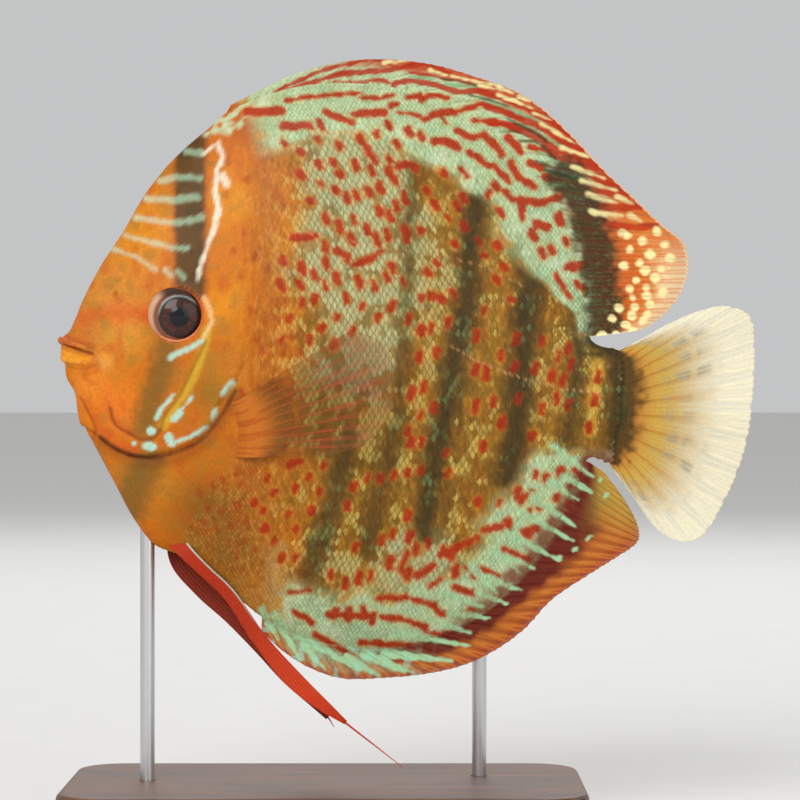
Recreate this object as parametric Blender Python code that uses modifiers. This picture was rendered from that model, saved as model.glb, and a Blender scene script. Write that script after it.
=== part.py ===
"""A life-size model of a discus fish, held on a plain display stand.

The fish faces -X with its left side towards -Y. The origin is the middle of the
underside of the stand's base, and +Z is up. Sizes and places are in millimetres, and
MM turns them into metres where a mesh is made.
"""

import math

import bmesh
import bpy
import numpy as np

MM = 0.001
GAP = 0.3  # between pieces that meet

# The body's outline, without fins, from the snout to the root of the tail fin.
BACK_LINE = [
    (-63.2, 116.4), (-63.2, 117.8), (-61.2, 119.8), (-60.0, 122.2), (-58.4, 126.2),
    (-53.3, 136.1), (-48.5, 143.3), (-42.5, 153.4), (-35.8, 161.3), (-28.3, 168.0),
    (-23.3, 172.3), (-15.6, 175.9), (-6.0, 178.8), (6.0, 179.9), (18.0, 178.6),
    (30.0, 174.5), (42.0, 166.8), (51.6, 156.0), (57.6, 145.2), (61.7, 132.0),
    (63.1, 122.9), (64.3, 117.4), (66.5, 116.2), (68.9, 115.8), (71.3, 115.0),
]
BELLY_LINE = [
    (-63.2, 116.4), (-63.0, 114.2), (-62.4, 112.1), (-61.8, 108.5), (-60.0, 105.4),
    (-58.4, 98.5), (-54.7, 91.4), (-50.2, 83.0), (-45.4, 74.2), (-40.6, 68.3),
    (-34.8, 65.8), (-28.8, 62.6), (-24.7, 59.8), (-20.4, 55.2), (-15.1, 50.9),
    (-8.4, 47.0), (1.2, 44.2), (10.8, 43.2), (20.4, 44.2), (30.0, 47.5),
    (39.6, 53.3), (48.0, 61.9), (55.2, 72.0), (60.7, 82.8), (63.8, 89.3),
    (66.0, 88.9), (68.9, 87.6),
]

# Measures along the body, each at a place x: half its thickness, how thick its upper
# and lower rims are, and how far up from the belly it is widest.
HALF_WIDTH = [
    (-63.2, 3.2), (-60.0, 4.4), (-54.0, 6.6), (-46.0, 8.9), (-38.0, 10.8), (-28.0, 12.8),
    (-18.0, 14.1), (-8.0, 14.5), (4.0, 13.8), (18.0, 12.0), (32.0, 9.5), (46.0, 6.9),
    (56.0, 5.0), (64.0, 3.6), (71.0, 2.6),
]
UPPER_RIM = [
    (-63.2, 2.0), (-50.0, 3.0), (-36.0, 3.2), (-24.0, 2.2), (-14.0, 1.4), (60.0, 1.2),
    (71.0, 1.0),
]
LOWER_RIM = [
    (-63.2, 2.0), (-55.0, 3.0), (-43.0, 3.6), (-34.0, 3.2), (-22.0, 2.2), (-10.0, 1.4),
    (60.0, 1.2), (71.0, 1.0),
]
WIDEST_AT = [(-63.2, 0.5), (-36.0, 0.48), (-20.0, 0.45), (10.0, 0.46), (71.0, 0.5)]
# How far each section leans out at its middle, at its share of the way to the tail.
SECTION_BOW = [(0.0, 0.0), (0.5, 0.0), (0.7, -6.0), (0.8, -9.0), (0.9, -5.0), (1.0, 2.6)]
MIDDLE_LEAN = 0.7  # how much of that lean the measures by place x follow
RIM_POWER, FLANK_POWER = 0.15, 0.9  # how squarely the rims and the flanks round off
SNOUT_ROUNDING = 0.02  # the share of the body's length over which the snout closes
STATIONS, LEVELS = 42, 22  # along the body, and round each side
GATHER = 0.6  # how strongly the stations gather at both ends

# Where the head is parted from the trunk: the nape, then the edge of the gill cover.
GILL_LINE = [
    (-26.6, 178.0), (-25.9, 165.6), (-24.0, 156.0), (-20.4, 139.2), (-18.7, 124.8),
    (-19.2, 110.9), (-21.6, 106.8), (-24.7, 102.7), (-25.9, 98.9), (-28.8, 95.0),
    (-32.4, 92.6), (-37.2, 91.0), (-42.0, 89.8), (-46.8, 90.2), (-50.9, 92.4),
    (-54.0, 95.0), (-57.0, 97.0), (-64.0, 98.5),
]
GILL_RISE, GILL_REACH = 0.5, 13.0  # the cover stands proud, fading over its reach
GILL_TOP, GILL_FADE = 160.0, 138.0  # no rise above the first height, all of it below the other
TAIL_PARTING = 65.8
CLEAR_FRONT, CLEAR_REAR, CLEAR_LOW, CLEAR_TOP = -95.0, 110.0, 30.0, 215.0  # past the body

EYE_PLACE = (-34.8, 123.4)
EYE_RADIUS, EYE_HALF_DEPTH, EYE_BULGE = 7.1, 4.6, 2.2
MOUTH_FRONT, MOUTH_CORNER, MOUTH_GAPE = (-66.0, 116.9), (-55.6, 114.2), 0.7
UPPER_LIP = [(-55.4, 5.6, 115.3), (-59.6, 4.2, 116.5), (-62.4, 2.2, 117.3), (-63.2, 0, 117.5)]
LOWER_LIP = [(-55.6, 5.5, 113.2), (-59.6, 4.1, 114.0), (-62.2, 2.2, 114.6), (-62.9, 0, 114.8)]
LIP_RADIUS, LIP_CORNER = 0.95, 0.62  # the corner's radius is this share of the middle's
NOSTRIL_PLACE, NOSTRIL_RADIUS, NOSTRIL_DEPTH = (-49.9, 128.4), 0.6, 1.6

# Fins on the middle line: each pair is a ray's root and tip, from front to back.
DORSAL_RAYS = [
    ((-23.8, 171.8), (-22.6, 174.0)), ((-20.4, 173.8), (-15.1, 177.8)),
    ((-15.1, 175.9), (-7.9, 181.2)), ((-8.4, 178.1), (0.2, 183.6)),
    ((-1.2, 179.3), (8.4, 184.9)), ((6.0, 180.0), (18.0, 184.8)),
    ((13.2, 179.5), (27.6, 183.4)), ((20.4, 178.1), (37.2, 180.5)),
    ((27.6, 175.7), (45.6, 177.4)), ((34.8, 172.1), (52.8, 172.8)),
    ((42.0, 166.8), (60.0, 166.1)), ((48.0, 160.8), (67.2, 158.4)),
    ((52.8, 154.6), (75.1, 151.0)), ((56.4, 148.1), (81.4, 145.0)),
    ((58.8, 141.6), (86.2, 141.1)), ((60.5, 136.3), (87.4, 136.8)),
    ((61.7, 132.0), (87.1, 132.6)), ((62.6, 127.2), (85.0, 127.6)),
    ((63.3, 122.2), (80.7, 122.9)), ((64.1, 118.3), (75.6, 119.8)),
]
ANAL_RAYS = [
    ((-15.1, 50.9), (-15.3, 47.6)), ((-12.0, 49.0), (-9.8, 42.7)),
    ((-7.2, 46.6), (-3.1, 38.6)), ((-1.2, 44.6), (4.6, 36.2)),
    ((6.0, 43.4), (15.1, 36.5)), ((13.2, 43.3), (24.0, 37.4)),
    ((20.4, 44.2), (32.9, 39.4)), ((27.6, 46.6), (40.8, 43.0)),
    ((34.8, 50.2), (48.0, 48.2)), ((40.8, 54.2), (54.7, 55.4)),
    ((46.8, 60.5), (63.6, 61.4)), ((51.6, 66.7), (69.4, 65.0)),
    ((55.9, 73.4), (74.6, 68.4)), ((59.3, 79.9), (75.6, 71.0)),
    ((61.4, 84.2), (74.4, 74.9)), ((62.8, 86.8), (71.0, 80.6)),
    ((63.5, 88.2), (67.0, 85.8)),
]
CAUDAL_RAYS = [
    ((70.3, 114.9), (75.6, 117.4)), ((71.3, 113.7), (81.6, 121.0)),
    ((71.8, 112.3), (89.3, 124.4)), ((72.1, 110.6), (96.2, 125.8)),
    ((72.4, 108.6), (102.0, 123.4)), ((72.6, 106.4), (103.2, 117.4)),
    ((72.7, 104.0), (103.2, 110.4)), ((72.6, 101.3), (102.5, 102.0)),
    ((72.2, 98.6), (101.3, 93.6)), ((71.8, 96.2), (98.9, 85.4)),
    ((71.2, 94.0), (95.5, 78.0)), ((70.4, 92.2), (91.0, 71.0)),
    ((69.7, 90.7), (85.7, 69.1)), ((69.0, 89.6), (79.6, 72.2)),
    ((68.4, 88.9), (74.4, 79.4)), ((67.9, 88.6), (70.4, 85.0)),
]
DORSAL_COUNT, DORSAL_SPINES = 40, 9
ANAL_COUNT, ANAL_SPINES = 36, 8
CAUDAL_COUNT = 16
SPINE_NOTCH = 0.1  # how far the membrane stops short between the spines' tips
ROOT_DEPTH = 3.0  # how far a fin runs into the flesh before it is cut to fit
BODY_HEART, TAIL_HEART = (5.0, 112.0), (40.0, 102.0)  # places that the sunk roots head for
RAY_REACHES = [0.0, 0.14, 0.34, 0.56, 0.78, 1.0]  # where the rows of a fin lie

# Half thickness at a fin's root, along its rays, at their tips and on the membrane.
ROOT_HALF, RAY_HALF, TIP_HALF, WEB_HALF = 0.85, 0.48, 0.28, 0.26
ROOT_FADE = 0.15  # the share of a ray over which the root thins out
WAVES = 7  # half waves along a fin's edge

# Paired fins, on the left side: root and tip of each key ray, with how far each stands
# from the skin at its root and at its tip.
PECTORAL_RAYS = [
    ((-20.4, 102.9), (6.5, 119.5)), ((-19.2, 100.8), (12.7, 117.2)),
    ((-18.2, 98.4), (16.1, 112.3)), ((-17.5, 95.8), (16.8, 105.1)),
    ((-17.3, 93.4), (14.4, 97.9)), ((-17.5, 91.2), (8.9, 92.6)),
    ((-18.0, 89.5), (1.2, 90.3)),
]
PECTORAL_COUNT, PECTORAL_STAND_OFF, PECTORAL_FLARE, PECTORAL_CUP = 12, 0.6, 3.4, 1.2
PECTORAL_ROOT_SHIFT, PECTORAL_SINK = 2.6, 2.4  # the sunk root lies further forward and in
PECTORAL_SWING = (0.0, 2.2)  # extra flare, on the left and right fins

# Each is a place on the fin's middle line and the fin's half width there.
NEAR_PELVIC = [
    (-36.4, -2.0, 70.5, 2.0), (-33.0, -4.1, 66.8, 1.7), (-28.6, -3.9, 62.4, 1.5),
    (-23.8, -2.9, 57.8, 1.5), (-15.6, -1.7, 45.9, 1.7), (-6.4, -1.5, 35.2, 2.1),
    (1.2, -1.3, 28.8, 1.2), (5.0, -1.2, 25.9, 0.5),
]
FAR_PELVIC = [
    (-36.4, 2.0, 70.5, 2.0), (-35.2, 3.4, 65.0, 2.4), (-29.6, 3.4, 58.2, 2.5),
    (-22.4, 2.6, 51.4, 2.2), (-15.2, 1.9, 43.4, 1.7), (-8.6, 1.6, 36.0, 1.5),
    (-2.6, 1.4, 30.2, 1.0), (0.6, 1.3, 26.8, 0.5),
]
NEAR_THREAD = [(2.4, -1.25, 27.9), (6.8, -1.1, 24.4), (12.6, -1.0, 19.9), (18.7, -0.9, 15.1)]
FAR_THREAD = [(-1.0, 1.35, 28.6), (0.9, 1.3, 26.6), (2.2, 1.25, 24.5)]
PELVIC_RAYS, PELVIC_ROWS = 6, 14
THREAD_RADIUS, THREAD_TAPER = 0.34, 0.5
PELVIC_STEP = 0.01  # the share of a pelvic fin's length that its direction is taken over

# The stand.
BASE_LENGTH, BASE_WIDTH, BASE_HEIGHT = 124.0, 72.0, 12.0
BASE_CORNER, BASE_EDGE = 12.0, 1.4
ROD_RADIUS, ROD_SINK = 1.75, 6.0
FRONT_ROD = ((-42.6, 0.0), (-42.6, 0.0, 78.0))  # its foot on the base, and its top
REAR_ROD = ((37.2, 9.0), (37.2, 3.2, 80.0))

ORANGE = (0.62, 0.24, 0.05)
RUST = (0.42, 0.15, 0.05)
AMBER = (0.75, 0.52, 0.20)
RED = (0.60, 0.08, 0.03)
DARK = (0.03, 0.02, 0.03)
WALNUT = (0.16, 0.08, 0.04)
STEEL = (0.62, 0.62, 0.64)


def through(keys):
    """A smooth function of x through (x, value) keys."""
    x, v = np.array(keys, float).T
    slope = np.gradient(v, x)

    def at(q):
        q = np.clip(np.asarray(q, float), x[0], x[-1])
        i = np.clip(np.searchsorted(x, q, side="right") - 1, 0, len(x) - 2)
        h = x[i + 1] - x[i]
        f = (q - x[i]) / h
        ease = f * f * (3 - 2 * f)
        bend = slope[i] * h * f * (1 - f) ** 2 + slope[i + 1] * h * f * f * (f - 1)
        return v[i] * (1 - ease) + v[i + 1] * ease + bend

    return at


def along(points, even=False):
    """A smooth curve through points, as a function of 0 to 1, paced by length or evenly."""
    p = np.array(points, float)
    steps = np.ones(len(p) - 1) if even else np.linalg.norm(np.diff(p, axis=0), axis=1)
    pace = np.concatenate([[0.0], np.cumsum(steps)]) / np.sum(steps)
    parts = [through(list(zip(pace, p[:, axis]))) for axis in range(p.shape[1])]
    return lambda u: np.stack([part(u) for part in parts], axis=-1)


def smooth_step(low, high, x):
    """From 0 at low to 1 at high, which may be the smaller of the two."""
    f = np.clip((x - low) / (high - low), 0.0, 1.0)
    return f * f * (3 - 2 * f)


def line_distance(points, x, z):
    """How far each (x, z) lies from a run of straight pieces."""
    p = np.array(points, float)
    best = np.full(np.shape(x), 1e9)
    for a, b in zip(p[:-1], p[1:]):
        run = b - a
        f = ((x - a[0]) * run[0] + (z - a[1]) * run[1]) / run.dot(run)
        f = np.clip(f, 0.0, 1.0)
        best = np.minimum(best, np.hypot(x - a[0] - f * run[0], z - a[1] - f * run[1]))
    return best


back_line, belly_line = along(BACK_LINE), along(BELLY_LINE)
half_width, upper_rim, lower_rim = through(HALF_WIDTH), through(UPPER_RIM), through(LOWER_RIM)
widest_at, section_bow = through(WIDEST_AT), through(SECTION_BOW)


def flesh(s, t):
    """The left side's x, y and z: s runs from snout to tail, t from belly -1 to back 1."""
    top, low = back_line(s), belly_line(s)
    middle_x = (top[..., 0] + low[..., 0]) / 2 + MIDDLE_LEAN * section_bow(s)
    middle = low + (top - low) * widest_at(middle_x)[..., None]
    place = middle + np.where(t[..., None] > 0, top - middle, middle - low) * t[..., None]
    inward = 1 - t * t
    rim = np.where(t > 0, upper_rim(middle_x), lower_rim(middle_x))
    rim = rim + (0.5 * (upper_rim(middle_x) + lower_rim(middle_x)) - rim) * inward
    y = rim * inward**RIM_POWER + (half_width(middle_x) - rim) * inward**FLANK_POWER
    y *= np.sqrt(1 - (1 - np.clip(s / SNOUT_ROUNDING, 0, 1)) ** 2)
    return place[..., 0] + section_bow(s) * inward, -y, place[..., 1]


def body_grid(stations, levels):
    """The s and t of a sheet over one side, closest together at both ends and rims."""
    u = np.linspace(0, 1, stations + 1)
    s = u - GATHER * np.sin(2 * np.pi * u) / (2 * np.pi)
    t = np.sin(np.pi / 2 * np.linspace(-1, 1, levels + 1))
    return np.meshgrid(s, t, indexing="ij")


FINE = flesh(*body_grid(240, 160))


def skin_y(x, z):
    """How far the skin lies from the middle plane at a place."""
    near = np.argmin((FINE[0] - x) ** 2 + (FINE[2] - z) ** 2)
    return -float(FINE[1].flat[near])


def gill_rise(x, z):
    """How far the gill cover stands proud of the body's own shape."""
    near = 1 - smooth_step(0, GILL_REACH, line_distance(GILL_LINE, x, z))
    return GILL_RISE * near * smooth_step(GILL_TOP, GILL_FADE, z)


def material(name, colour, roughness, metallic=0.0):
    made = bpy.data.materials.new(name)
    made.use_nodes = True
    shader = made.node_tree.nodes["Principled BSDF"]
    shader.inputs["Base Color"].default_value = (*colour, 1.0)
    shader.inputs["Roughness"].default_value = roughness
    shader.inputs["Metallic"].default_value = metallic
    return made


def show(name, mesh, surface, collection):
    """An object of a mesh, in a collection, with one material if one is given."""
    made = bpy.data.objects.new(name, mesh)
    collection.objects.link(made)
    if surface:
        mesh.materials.append(surface)
    return made


def face_outwards(bm):
    bmesh.ops.recalc_face_normals(bm, faces=bm.faces)
    closed = all(edge.is_manifold for edge in bm.edges)
    if closed and bm.calc_volume(signed=True) < 0:
        bmesh.ops.reverse_faces(bm, faces=bm.faces)


def mesh_of(name, bm):
    """A mesh in metres from a bmesh in millimetres, facing outwards."""
    face_outwards(bm)
    bmesh.ops.scale(bm, vec=(MM, MM, MM), verts=bm.verts)
    mesh = bpy.data.meshes.new(name)
    bm.to_mesh(mesh)
    bm.free()
    return mesh


def settle(made, collection):
    """The object with its modifiers applied and only its largest closed surface kept."""
    bpy.context.view_layer.update()
    graph = bpy.context.evaluated_depsgraph_get()
    mesh = bpy.data.meshes.new_from_object(made.evaluated_get(graph), depsgraph=graph)
    mesh.transform(made.matrix_world)
    bm = bmesh.new()
    bm.from_mesh(mesh)
    bmesh.ops.remove_doubles(bm, verts=bm.verts, dist=1e-6)
    bmesh.ops.triangulate(bm, faces=bm.faces)
    drop_scraps(bm)
    face_outwards(bm)
    bm.to_mesh(mesh)
    bm.free()
    surface, name = made.data.materials[0], made.name
    bpy.data.objects.remove(made)
    mesh.materials.clear()
    done = show(name, mesh, surface, collection)
    mesh.shade_smooth()
    mesh.set_sharp_from_angle(angle=math.radians(40))
    return done


def drop_scraps(bm):
    """Keep the connected surface that encloses most and remove the rest."""
    left, groups = set(bm.verts), []
    while left:
        group, front = set(), [left.pop()]
        while front:
            vert = front.pop()
            group.add(vert)
            for edge in vert.link_edges:
                other = edge.other_vert(vert)
                if other in left:
                    left.discard(other)
                    front.append(other)
        groups.append(group)
    largest = max(groups, key=lambda group: abs(enclosed(group)))
    loose = [vert for group in groups if group is not largest for vert in group]
    bmesh.ops.delete(bm, geom=loose, context="VERTS")


def enclosed(group):
    """Six times the volume inside a group of vertices' triangles."""
    faces = {face for vert in group for face in vert.link_faces}
    return sum(f.verts[0].co.dot(f.verts[1].co.cross(f.verts[2].co)) for f in faces)


def combine(made, tool, operation):
    """Cut, join or intersect with another object by a Boolean modifier."""
    step = made.modifiers.new("boolean", "BOOLEAN")
    step.operation = operation
    step.object = tool
    return made


def sheet(columns, rows, place):
    """A bmesh grid whose points are set by place(column, row)."""
    bm = bmesh.new()
    grid = bmesh.ops.create_grid(bm, x_segments=columns, y_segments=rows, size=0.5)
    for vert in grid["verts"]:
        column = round((vert.co.x + 0.5) * columns)
        row = round((vert.co.y + 0.5) * rows)
        vert.co = place(column, row)
    return bm


def body(name, collection, surface, rise=None):
    """The whole body without its fins, with a Mirror modifier for its right side."""
    s, t = body_grid(STATIONS, LEVELS)
    x, y, z = flesh(s, t)
    if rise:
        y = y - rise(x, z) * np.clip(-y / 2, 0, 1)

    def place(column, row):
        if column > STATIONS:  # the end face, where the tail fin grows
            return (x[-1, row], 0.0, z[-1, row])
        inner = row in (0, LEVELS) or column == 0
        return (x[column, row], 0.0 if inner else y[column, row], z[column, row])

    bm = sheet(STATIONS + 1, LEVELS, place)
    bmesh.ops.remove_doubles(bm, verts=bm.verts, dist=0.001)
    made = show(name, mesh_of(name, bm), surface, collection)
    mirror = made.modifiers.new("right side", "MIRROR")
    mirror.use_axis = (False, True, False)
    mirror.merge_threshold = 1e-5
    return made


def hide(made):
    made.hide_render = True
    made.display_type = "WIRE"
    return made


def grown_body(cutters):
    """The body grown by the gap, which every fin is cut with."""
    made = body("grown_body", cutters, material("cutter", DARK, 1.0), gill_rise)
    grow = made.modifiers.new("grow", "DISPLACE")
    grow.mid_level = 0.0
    grow.strength = GAP * MM
    return hide(settle(made, cutters))


def prism(name, outline, collection, half_depth=30.0):
    """An upright outline in x and z, made solid along y."""
    bm = bmesh.new()
    face = bm.faces.new([bm.verts.new((x, -half_depth, z)) for x, z in outline])
    wall = bmesh.ops.extrude_face_region(bm, geom=[face])
    moved = [item for item in wall["geom"] if isinstance(item, bmesh.types.BMVert)]
    bmesh.ops.translate(bm, vec=(0, 2 * half_depth, 0), verts=moved)
    return hide(show(name, mesh_of(name, bm), None, collection))


def shifted(points, distance):
    """A line moved to its right-hand side by a distance."""
    p = np.array(points, float)
    run = np.gradient(p, axis=0)
    run /= np.linalg.norm(run, axis=1)[:, None]
    return [tuple(point) for point in p + distance * np.stack([-run[:, 1], run[:, 0]], 1)]


def head_prism(name, shift, cutters):
    throat, nape = GILL_LINE[-1][1] - shift, GILL_LINE[0][0] + shift
    front = [(CLEAR_FRONT, throat), (CLEAR_FRONT, CLEAR_TOP), (nape, CLEAR_TOP)]
    return prism(name, shifted(GILL_LINE, shift) + front, cutters)


def tail_prism(name, shift, cutters):
    start = TAIL_PARTING - shift
    end, low, high = CLEAR_REAR, CLEAR_LOW, CLEAR_TOP
    return prism(name, [(start, low), (start, high), (end, high), (end, low)], cutters)


def ellipsoid(name, centre, sizes, collection, surface=None, segments=20, rings=12):
    """A round body with its poles on the y axis."""
    bm = bmesh.new()
    bmesh.ops.create_uvsphere(bm, u_segments=segments, v_segments=rings, radius=1)
    for vert in bm.verts:
        x, y, z = vert.co
        vert.co = (
            centre[0] + x * sizes[0], centre[1] + z * sizes[1], centre[2] + y * sizes[2],
        )
    return show(name, mesh_of(name, bm), surface, collection)


def cylinder(name, start, end, radius, collection, surface=None, sides=24):
    """A straight round bar between two places."""
    start, end = np.array(start, float), np.array(end, float)
    run = end - start
    length = float(np.linalg.norm(run))
    bpy.ops.mesh.primitive_cylinder_add(
        vertices=sides, radius=radius * MM, depth=length * MM,
        location=tuple((start + end) / 2 * MM),
        rotation=(0.0, math.acos(run[2] / length), math.atan2(run[1], run[0])),
    )
    made = bpy.context.object
    made.name = name
    for holder in list(made.users_collection):
        holder.objects.unlink(made)
    collection.objects.link(made)
    if surface:
        made.data.materials.append(surface)
    return made


def tube(name, points, radii, collection, surface, resolution=2):
    """A round bar along a smooth curve, made into a closed mesh."""
    data = bpy.data.curves.new(name, "CURVE")
    data.dimensions = "3D"
    data.bevel_depth = MM
    data.bevel_resolution = resolution
    data.use_fill_caps = True
    spline = data.splines.new("POLY")
    count = 2 * (len(points) - 1)
    path, radius = along(points), along([(r,) for r in radii])
    spline.points.add(count)
    for i, point in enumerate(spline.points):
        point.co = (*(path(i / count) * MM), 1.0)
        point.radius = float(radius(i / count)[0])
    curve = bpy.data.objects.new(name + "_curve", data)
    collection.objects.link(curve)
    bpy.context.view_layer.update()
    graph = bpy.context.evaluated_depsgraph_get()
    mesh = bpy.data.meshes.new_from_object(curve.evaluated_get(graph), depsgraph=graph)
    bm = bmesh.new()
    bm.from_mesh(mesh)
    bmesh.ops.remove_doubles(bm, verts=bm.verts, dist=1e-6)
    face_outwards(bm)
    bm.to_mesh(mesh)
    bm.free()
    bpy.data.objects.remove(curve)
    mesh.materials.clear()
    return show(name, mesh, surface, collection)


def eye_centre(side):
    x, z = EYE_PLACE
    return (x, side * (skin_y(x, z) + EYE_BULGE - EYE_HALF_DEPTH), z)


def make_eyes(parts, cutters):
    """Both eyes, and the sockets that the head is cut with."""
    sockets = []
    for side, word in ((-1, "left"), (1, "right")):
        sizes = (EYE_RADIUS, EYE_HALF_DEPTH, EYE_RADIUS)
        ellipsoid("eye_" + word, eye_centre(side), sizes, parts, material("eye", DARK, 0.1))
        grown = tuple(size + GAP for size in sizes)
        sockets.append(hide(ellipsoid("socket_" + word, eye_centre(side), grown, cutters)))
    return sockets


def mouth_slit(cutters):
    """A thin wedge that opens the line of the mouth."""
    (x0, z0), (x1, z1), half = MOUTH_FRONT, MOUTH_CORNER, MOUTH_GAPE / 2
    return prism("mouth_slit", [(x0, z0 - half), (x1, z1), (x0, z0 + half)], cutters)


def lip(name, half_path, parts, surface):
    """A lip round the snout, thinner at the corners of the mouth."""
    right = half_path[::-1][1:]
    points = [(x, -y, z) for x, y, z in half_path] + right
    middle = len(half_path) - 1
    radii = [
        LIP_RADIUS * (1 - (1 - LIP_CORNER) * abs(i - middle) / middle) for i in range(len(points))
    ]
    return tube(name, points, radii, parts, surface)


def make_head(parts, cutters, sockets):
    skin = material("head_skin", ORANGE, 0.45)
    head = body("head", parts, skin, gill_rise)
    combine(head, head_prism("head_side", 0.0, cutters), "INTERSECT")
    combine(head, mouth_slit(cutters), "DIFFERENCE")
    for socket in sockets:
        combine(head, socket, "DIFFERENCE")
    x, z = NOSTRIL_PLACE
    for side, word in ((-1, "left"), (1, "right")):
        outer = side * (skin_y(x, z) + NOSTRIL_DEPTH)
        inner = side * (skin_y(x, z) - NOSTRIL_DEPTH)
        ends = (x, outer, z), (x, inner, z)
        hole = cylinder("nostril_" + word, *ends, NOSTRIL_RADIUS, cutters, sides=10)
        combine(head, hide(hole), "DIFFERENCE")
    lips = [
        lip("upper_lip", UPPER_LIP, cutters, skin), lip("lower_lip", LOWER_LIP, cutters, skin),
    ]
    for piece in lips:
        combine(head, hide(piece), "UNION")
    return settle(head, parts)


def rod_ends(rod, extra=0.0):
    """A rod's foot in the base and its top in the body."""
    (foot_x, foot_y), top = rod
    top = np.array(top)
    foot = np.array([foot_x, foot_y, BASE_HEIGHT])
    run = (top - foot) / np.linalg.norm(top - foot)
    return foot - run * (ROD_SINK + extra), top + run * extra


def make_stand(parts, cutters):
    """The base and its two rods, and the holes that the rods fit."""
    steel = material("rod_steel", STEEL, 0.3, 1.0)
    holes = []
    for word, rod in (("front", FRONT_ROD), ("rear", REAR_ROD)):
        cylinder("stand_rod_" + word, *rod_ends(rod), ROD_RADIUS, parts, steel)
        ends = rod_ends(rod, GAP)
        holes.append(hide(cylinder("hole_" + word, *ends, ROD_RADIUS + GAP, cutters)))
    bm = bmesh.new()
    bmesh.ops.create_cube(bm, size=1.0)
    bmesh.ops.scale(bm, vec=(BASE_LENGTH, BASE_WIDTH, BASE_HEIGHT), verts=bm.verts)
    bmesh.ops.translate(bm, vec=(0, 0, BASE_HEIGHT / 2), verts=bm.verts)
    upright = [e for e in bm.edges if abs(e.verts[0].co.z - e.verts[1].co.z) > 1]
    bmesh.ops.bevel(
        bm, geom=upright, offset=BASE_CORNER, offset_type="OFFSET", segments=7, profile=0.5,
        affect="EDGES",
    )
    rim = [e for e in bm.edges if min(v.co.z for v in e.verts) > BASE_HEIGHT - 0.01]
    bmesh.ops.bevel(
        bm, geom=rim, offset=BASE_EDGE, offset_type="OFFSET", segments=3, profile=0.5,
        affect="EDGES",
    )
    base = show("stand_base", mesh_of("stand_base", bm), material("base_wood", WALNUT, 0.5), parts)
    for hole in holes:
        combine(base, hole, "DIFFERENCE")
    settle(base, parts)
    return holes


def make_trunk(parts, cutters, holes):
    trunk = body("trunk", parts, material("trunk_skin", RUST, 0.45))
    combine(trunk, head_prism("trunk_front", GAP, cutters), "DIFFERENCE")
    combine(trunk, tail_prism("trunk_end", GAP, cutters), "DIFFERENCE")
    for hole in holes:
        combine(trunk, hole, "DIFFERENCE")
    settle(trunk, parts)


def make_tail_stalk(parts, cutters):
    stalk = body("tail_stalk", parts, material("stalk_skin", RUST, 0.45))
    combine(stalk, tail_prism("stalk_side", 0.0, cutters), "INTERSECT")
    settle(stalk, parts)


def thicken(name, bm, thickness, parts, surface):
    """A closed fin from a sheet, each point as thick as thickness says, in mm."""
    bmesh.ops.triangulate(bm, faces=bm.faces)
    bm.verts.ensure_lookup_table()
    made = show(name, mesh_of(name, bm), surface, parts)
    most = float(np.max(thickness))
    group = made.vertex_groups.new(name="thickness")
    for i, value in enumerate(thickness):
        group.add([i], float(value) / most, "REPLACE")
    solid = made.modifiers.new("thickness", "SOLIDIFY")
    solid.thickness = most * MM
    solid.offset = 0.0
    solid.vertex_group = "thickness"
    return made


def fin(name, columns, place, half, parts, surface, grown):
    """A fin as a grid of points with half thicknesses, cut to fit the body."""
    rows = len(RAY_REACHES)
    bm = sheet(columns, rows, place)
    thickness = [0.0] * len(bm.verts)
    width = columns + 1
    for index, vert in enumerate(bm.verts):
        thickness[index] = 2 * half(index % width, index // width)
    made = thicken(name, bm, thickness, parts, surface)
    combine(made, grown, "DIFFERENCE")
    return settle(made, parts)


def fin_half():
    """Half thickness over a fin: ridges on even columns, a thin web on odd ones."""

    def half(column, row):
        if row == 0:
            return ROOT_HALF
        reach = RAY_REACHES[row - 1]
        ray = RAY_HALF + (TIP_HALF - RAY_HALF) * reach
        rest = ray if column % 2 == 0 else WEB_HALF
        return rest + (ROOT_HALF - rest) * max(0.0, 1 - reach / ROOT_FADE)

    return half


def middle_fin(name, keys, count, spines, heart, sway, parts, surface, grown):
    """A fin on the middle line, sunk towards the heart, a place inside the body."""
    roots, tips = along([k[0] for k in keys], True), along([k[1] for k in keys], True)
    columns = 2 * count

    def place(column, row):
        u = column / columns
        root, tip = roots(u), tips(u)
        if row == 0:
            inward = np.array(heart) - root
            point = root + inward / np.linalg.norm(inward) * ROOT_DEPTH
            return (point[0], 0.0, point[1])
        reach = RAY_REACHES[row - 1]
        if column % 2 and column < 2 * spines:
            reach *= 1 - SPINE_NOTCH
        point = root + (tip - root) * reach
        wave = sway * math.sin(WAVES * math.pi * u) * reach**2
        return (point[0], wave, point[1])

    return fin(name, columns, place, fin_half(), parts, surface, grown)


def pectoral(name, side, swing, parts, surface, grown):
    """A rounded paddle that stands off the flank behind the gill cover."""
    roots = along([k[0] for k in PECTORAL_RAYS], True)
    tips = along([k[1] for k in PECTORAL_RAYS], True)
    columns = 2 * PECTORAL_COUNT
    flank = skin_y(*PECTORAL_RAYS[3][0])

    def place(column, row):
        u = column / columns
        root, tip = roots(u), tips(u)
        if row == 0:
            return (root[0] - PECTORAL_ROOT_SHIFT, side * (flank - PECTORAL_SINK), root[1])
        reach = RAY_REACHES[row - 1]
        point = root + (tip - root) * reach
        cup = PECTORAL_CUP * (2 * u - 1) ** 2 * reach
        out = flank + PECTORAL_STAND_OFF + (PECTORAL_FLARE + swing) * reach + cup
        return (point[0], side * out, point[1])

    return fin(name, columns, place, fin_half(), parts, surface, grown)


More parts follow.
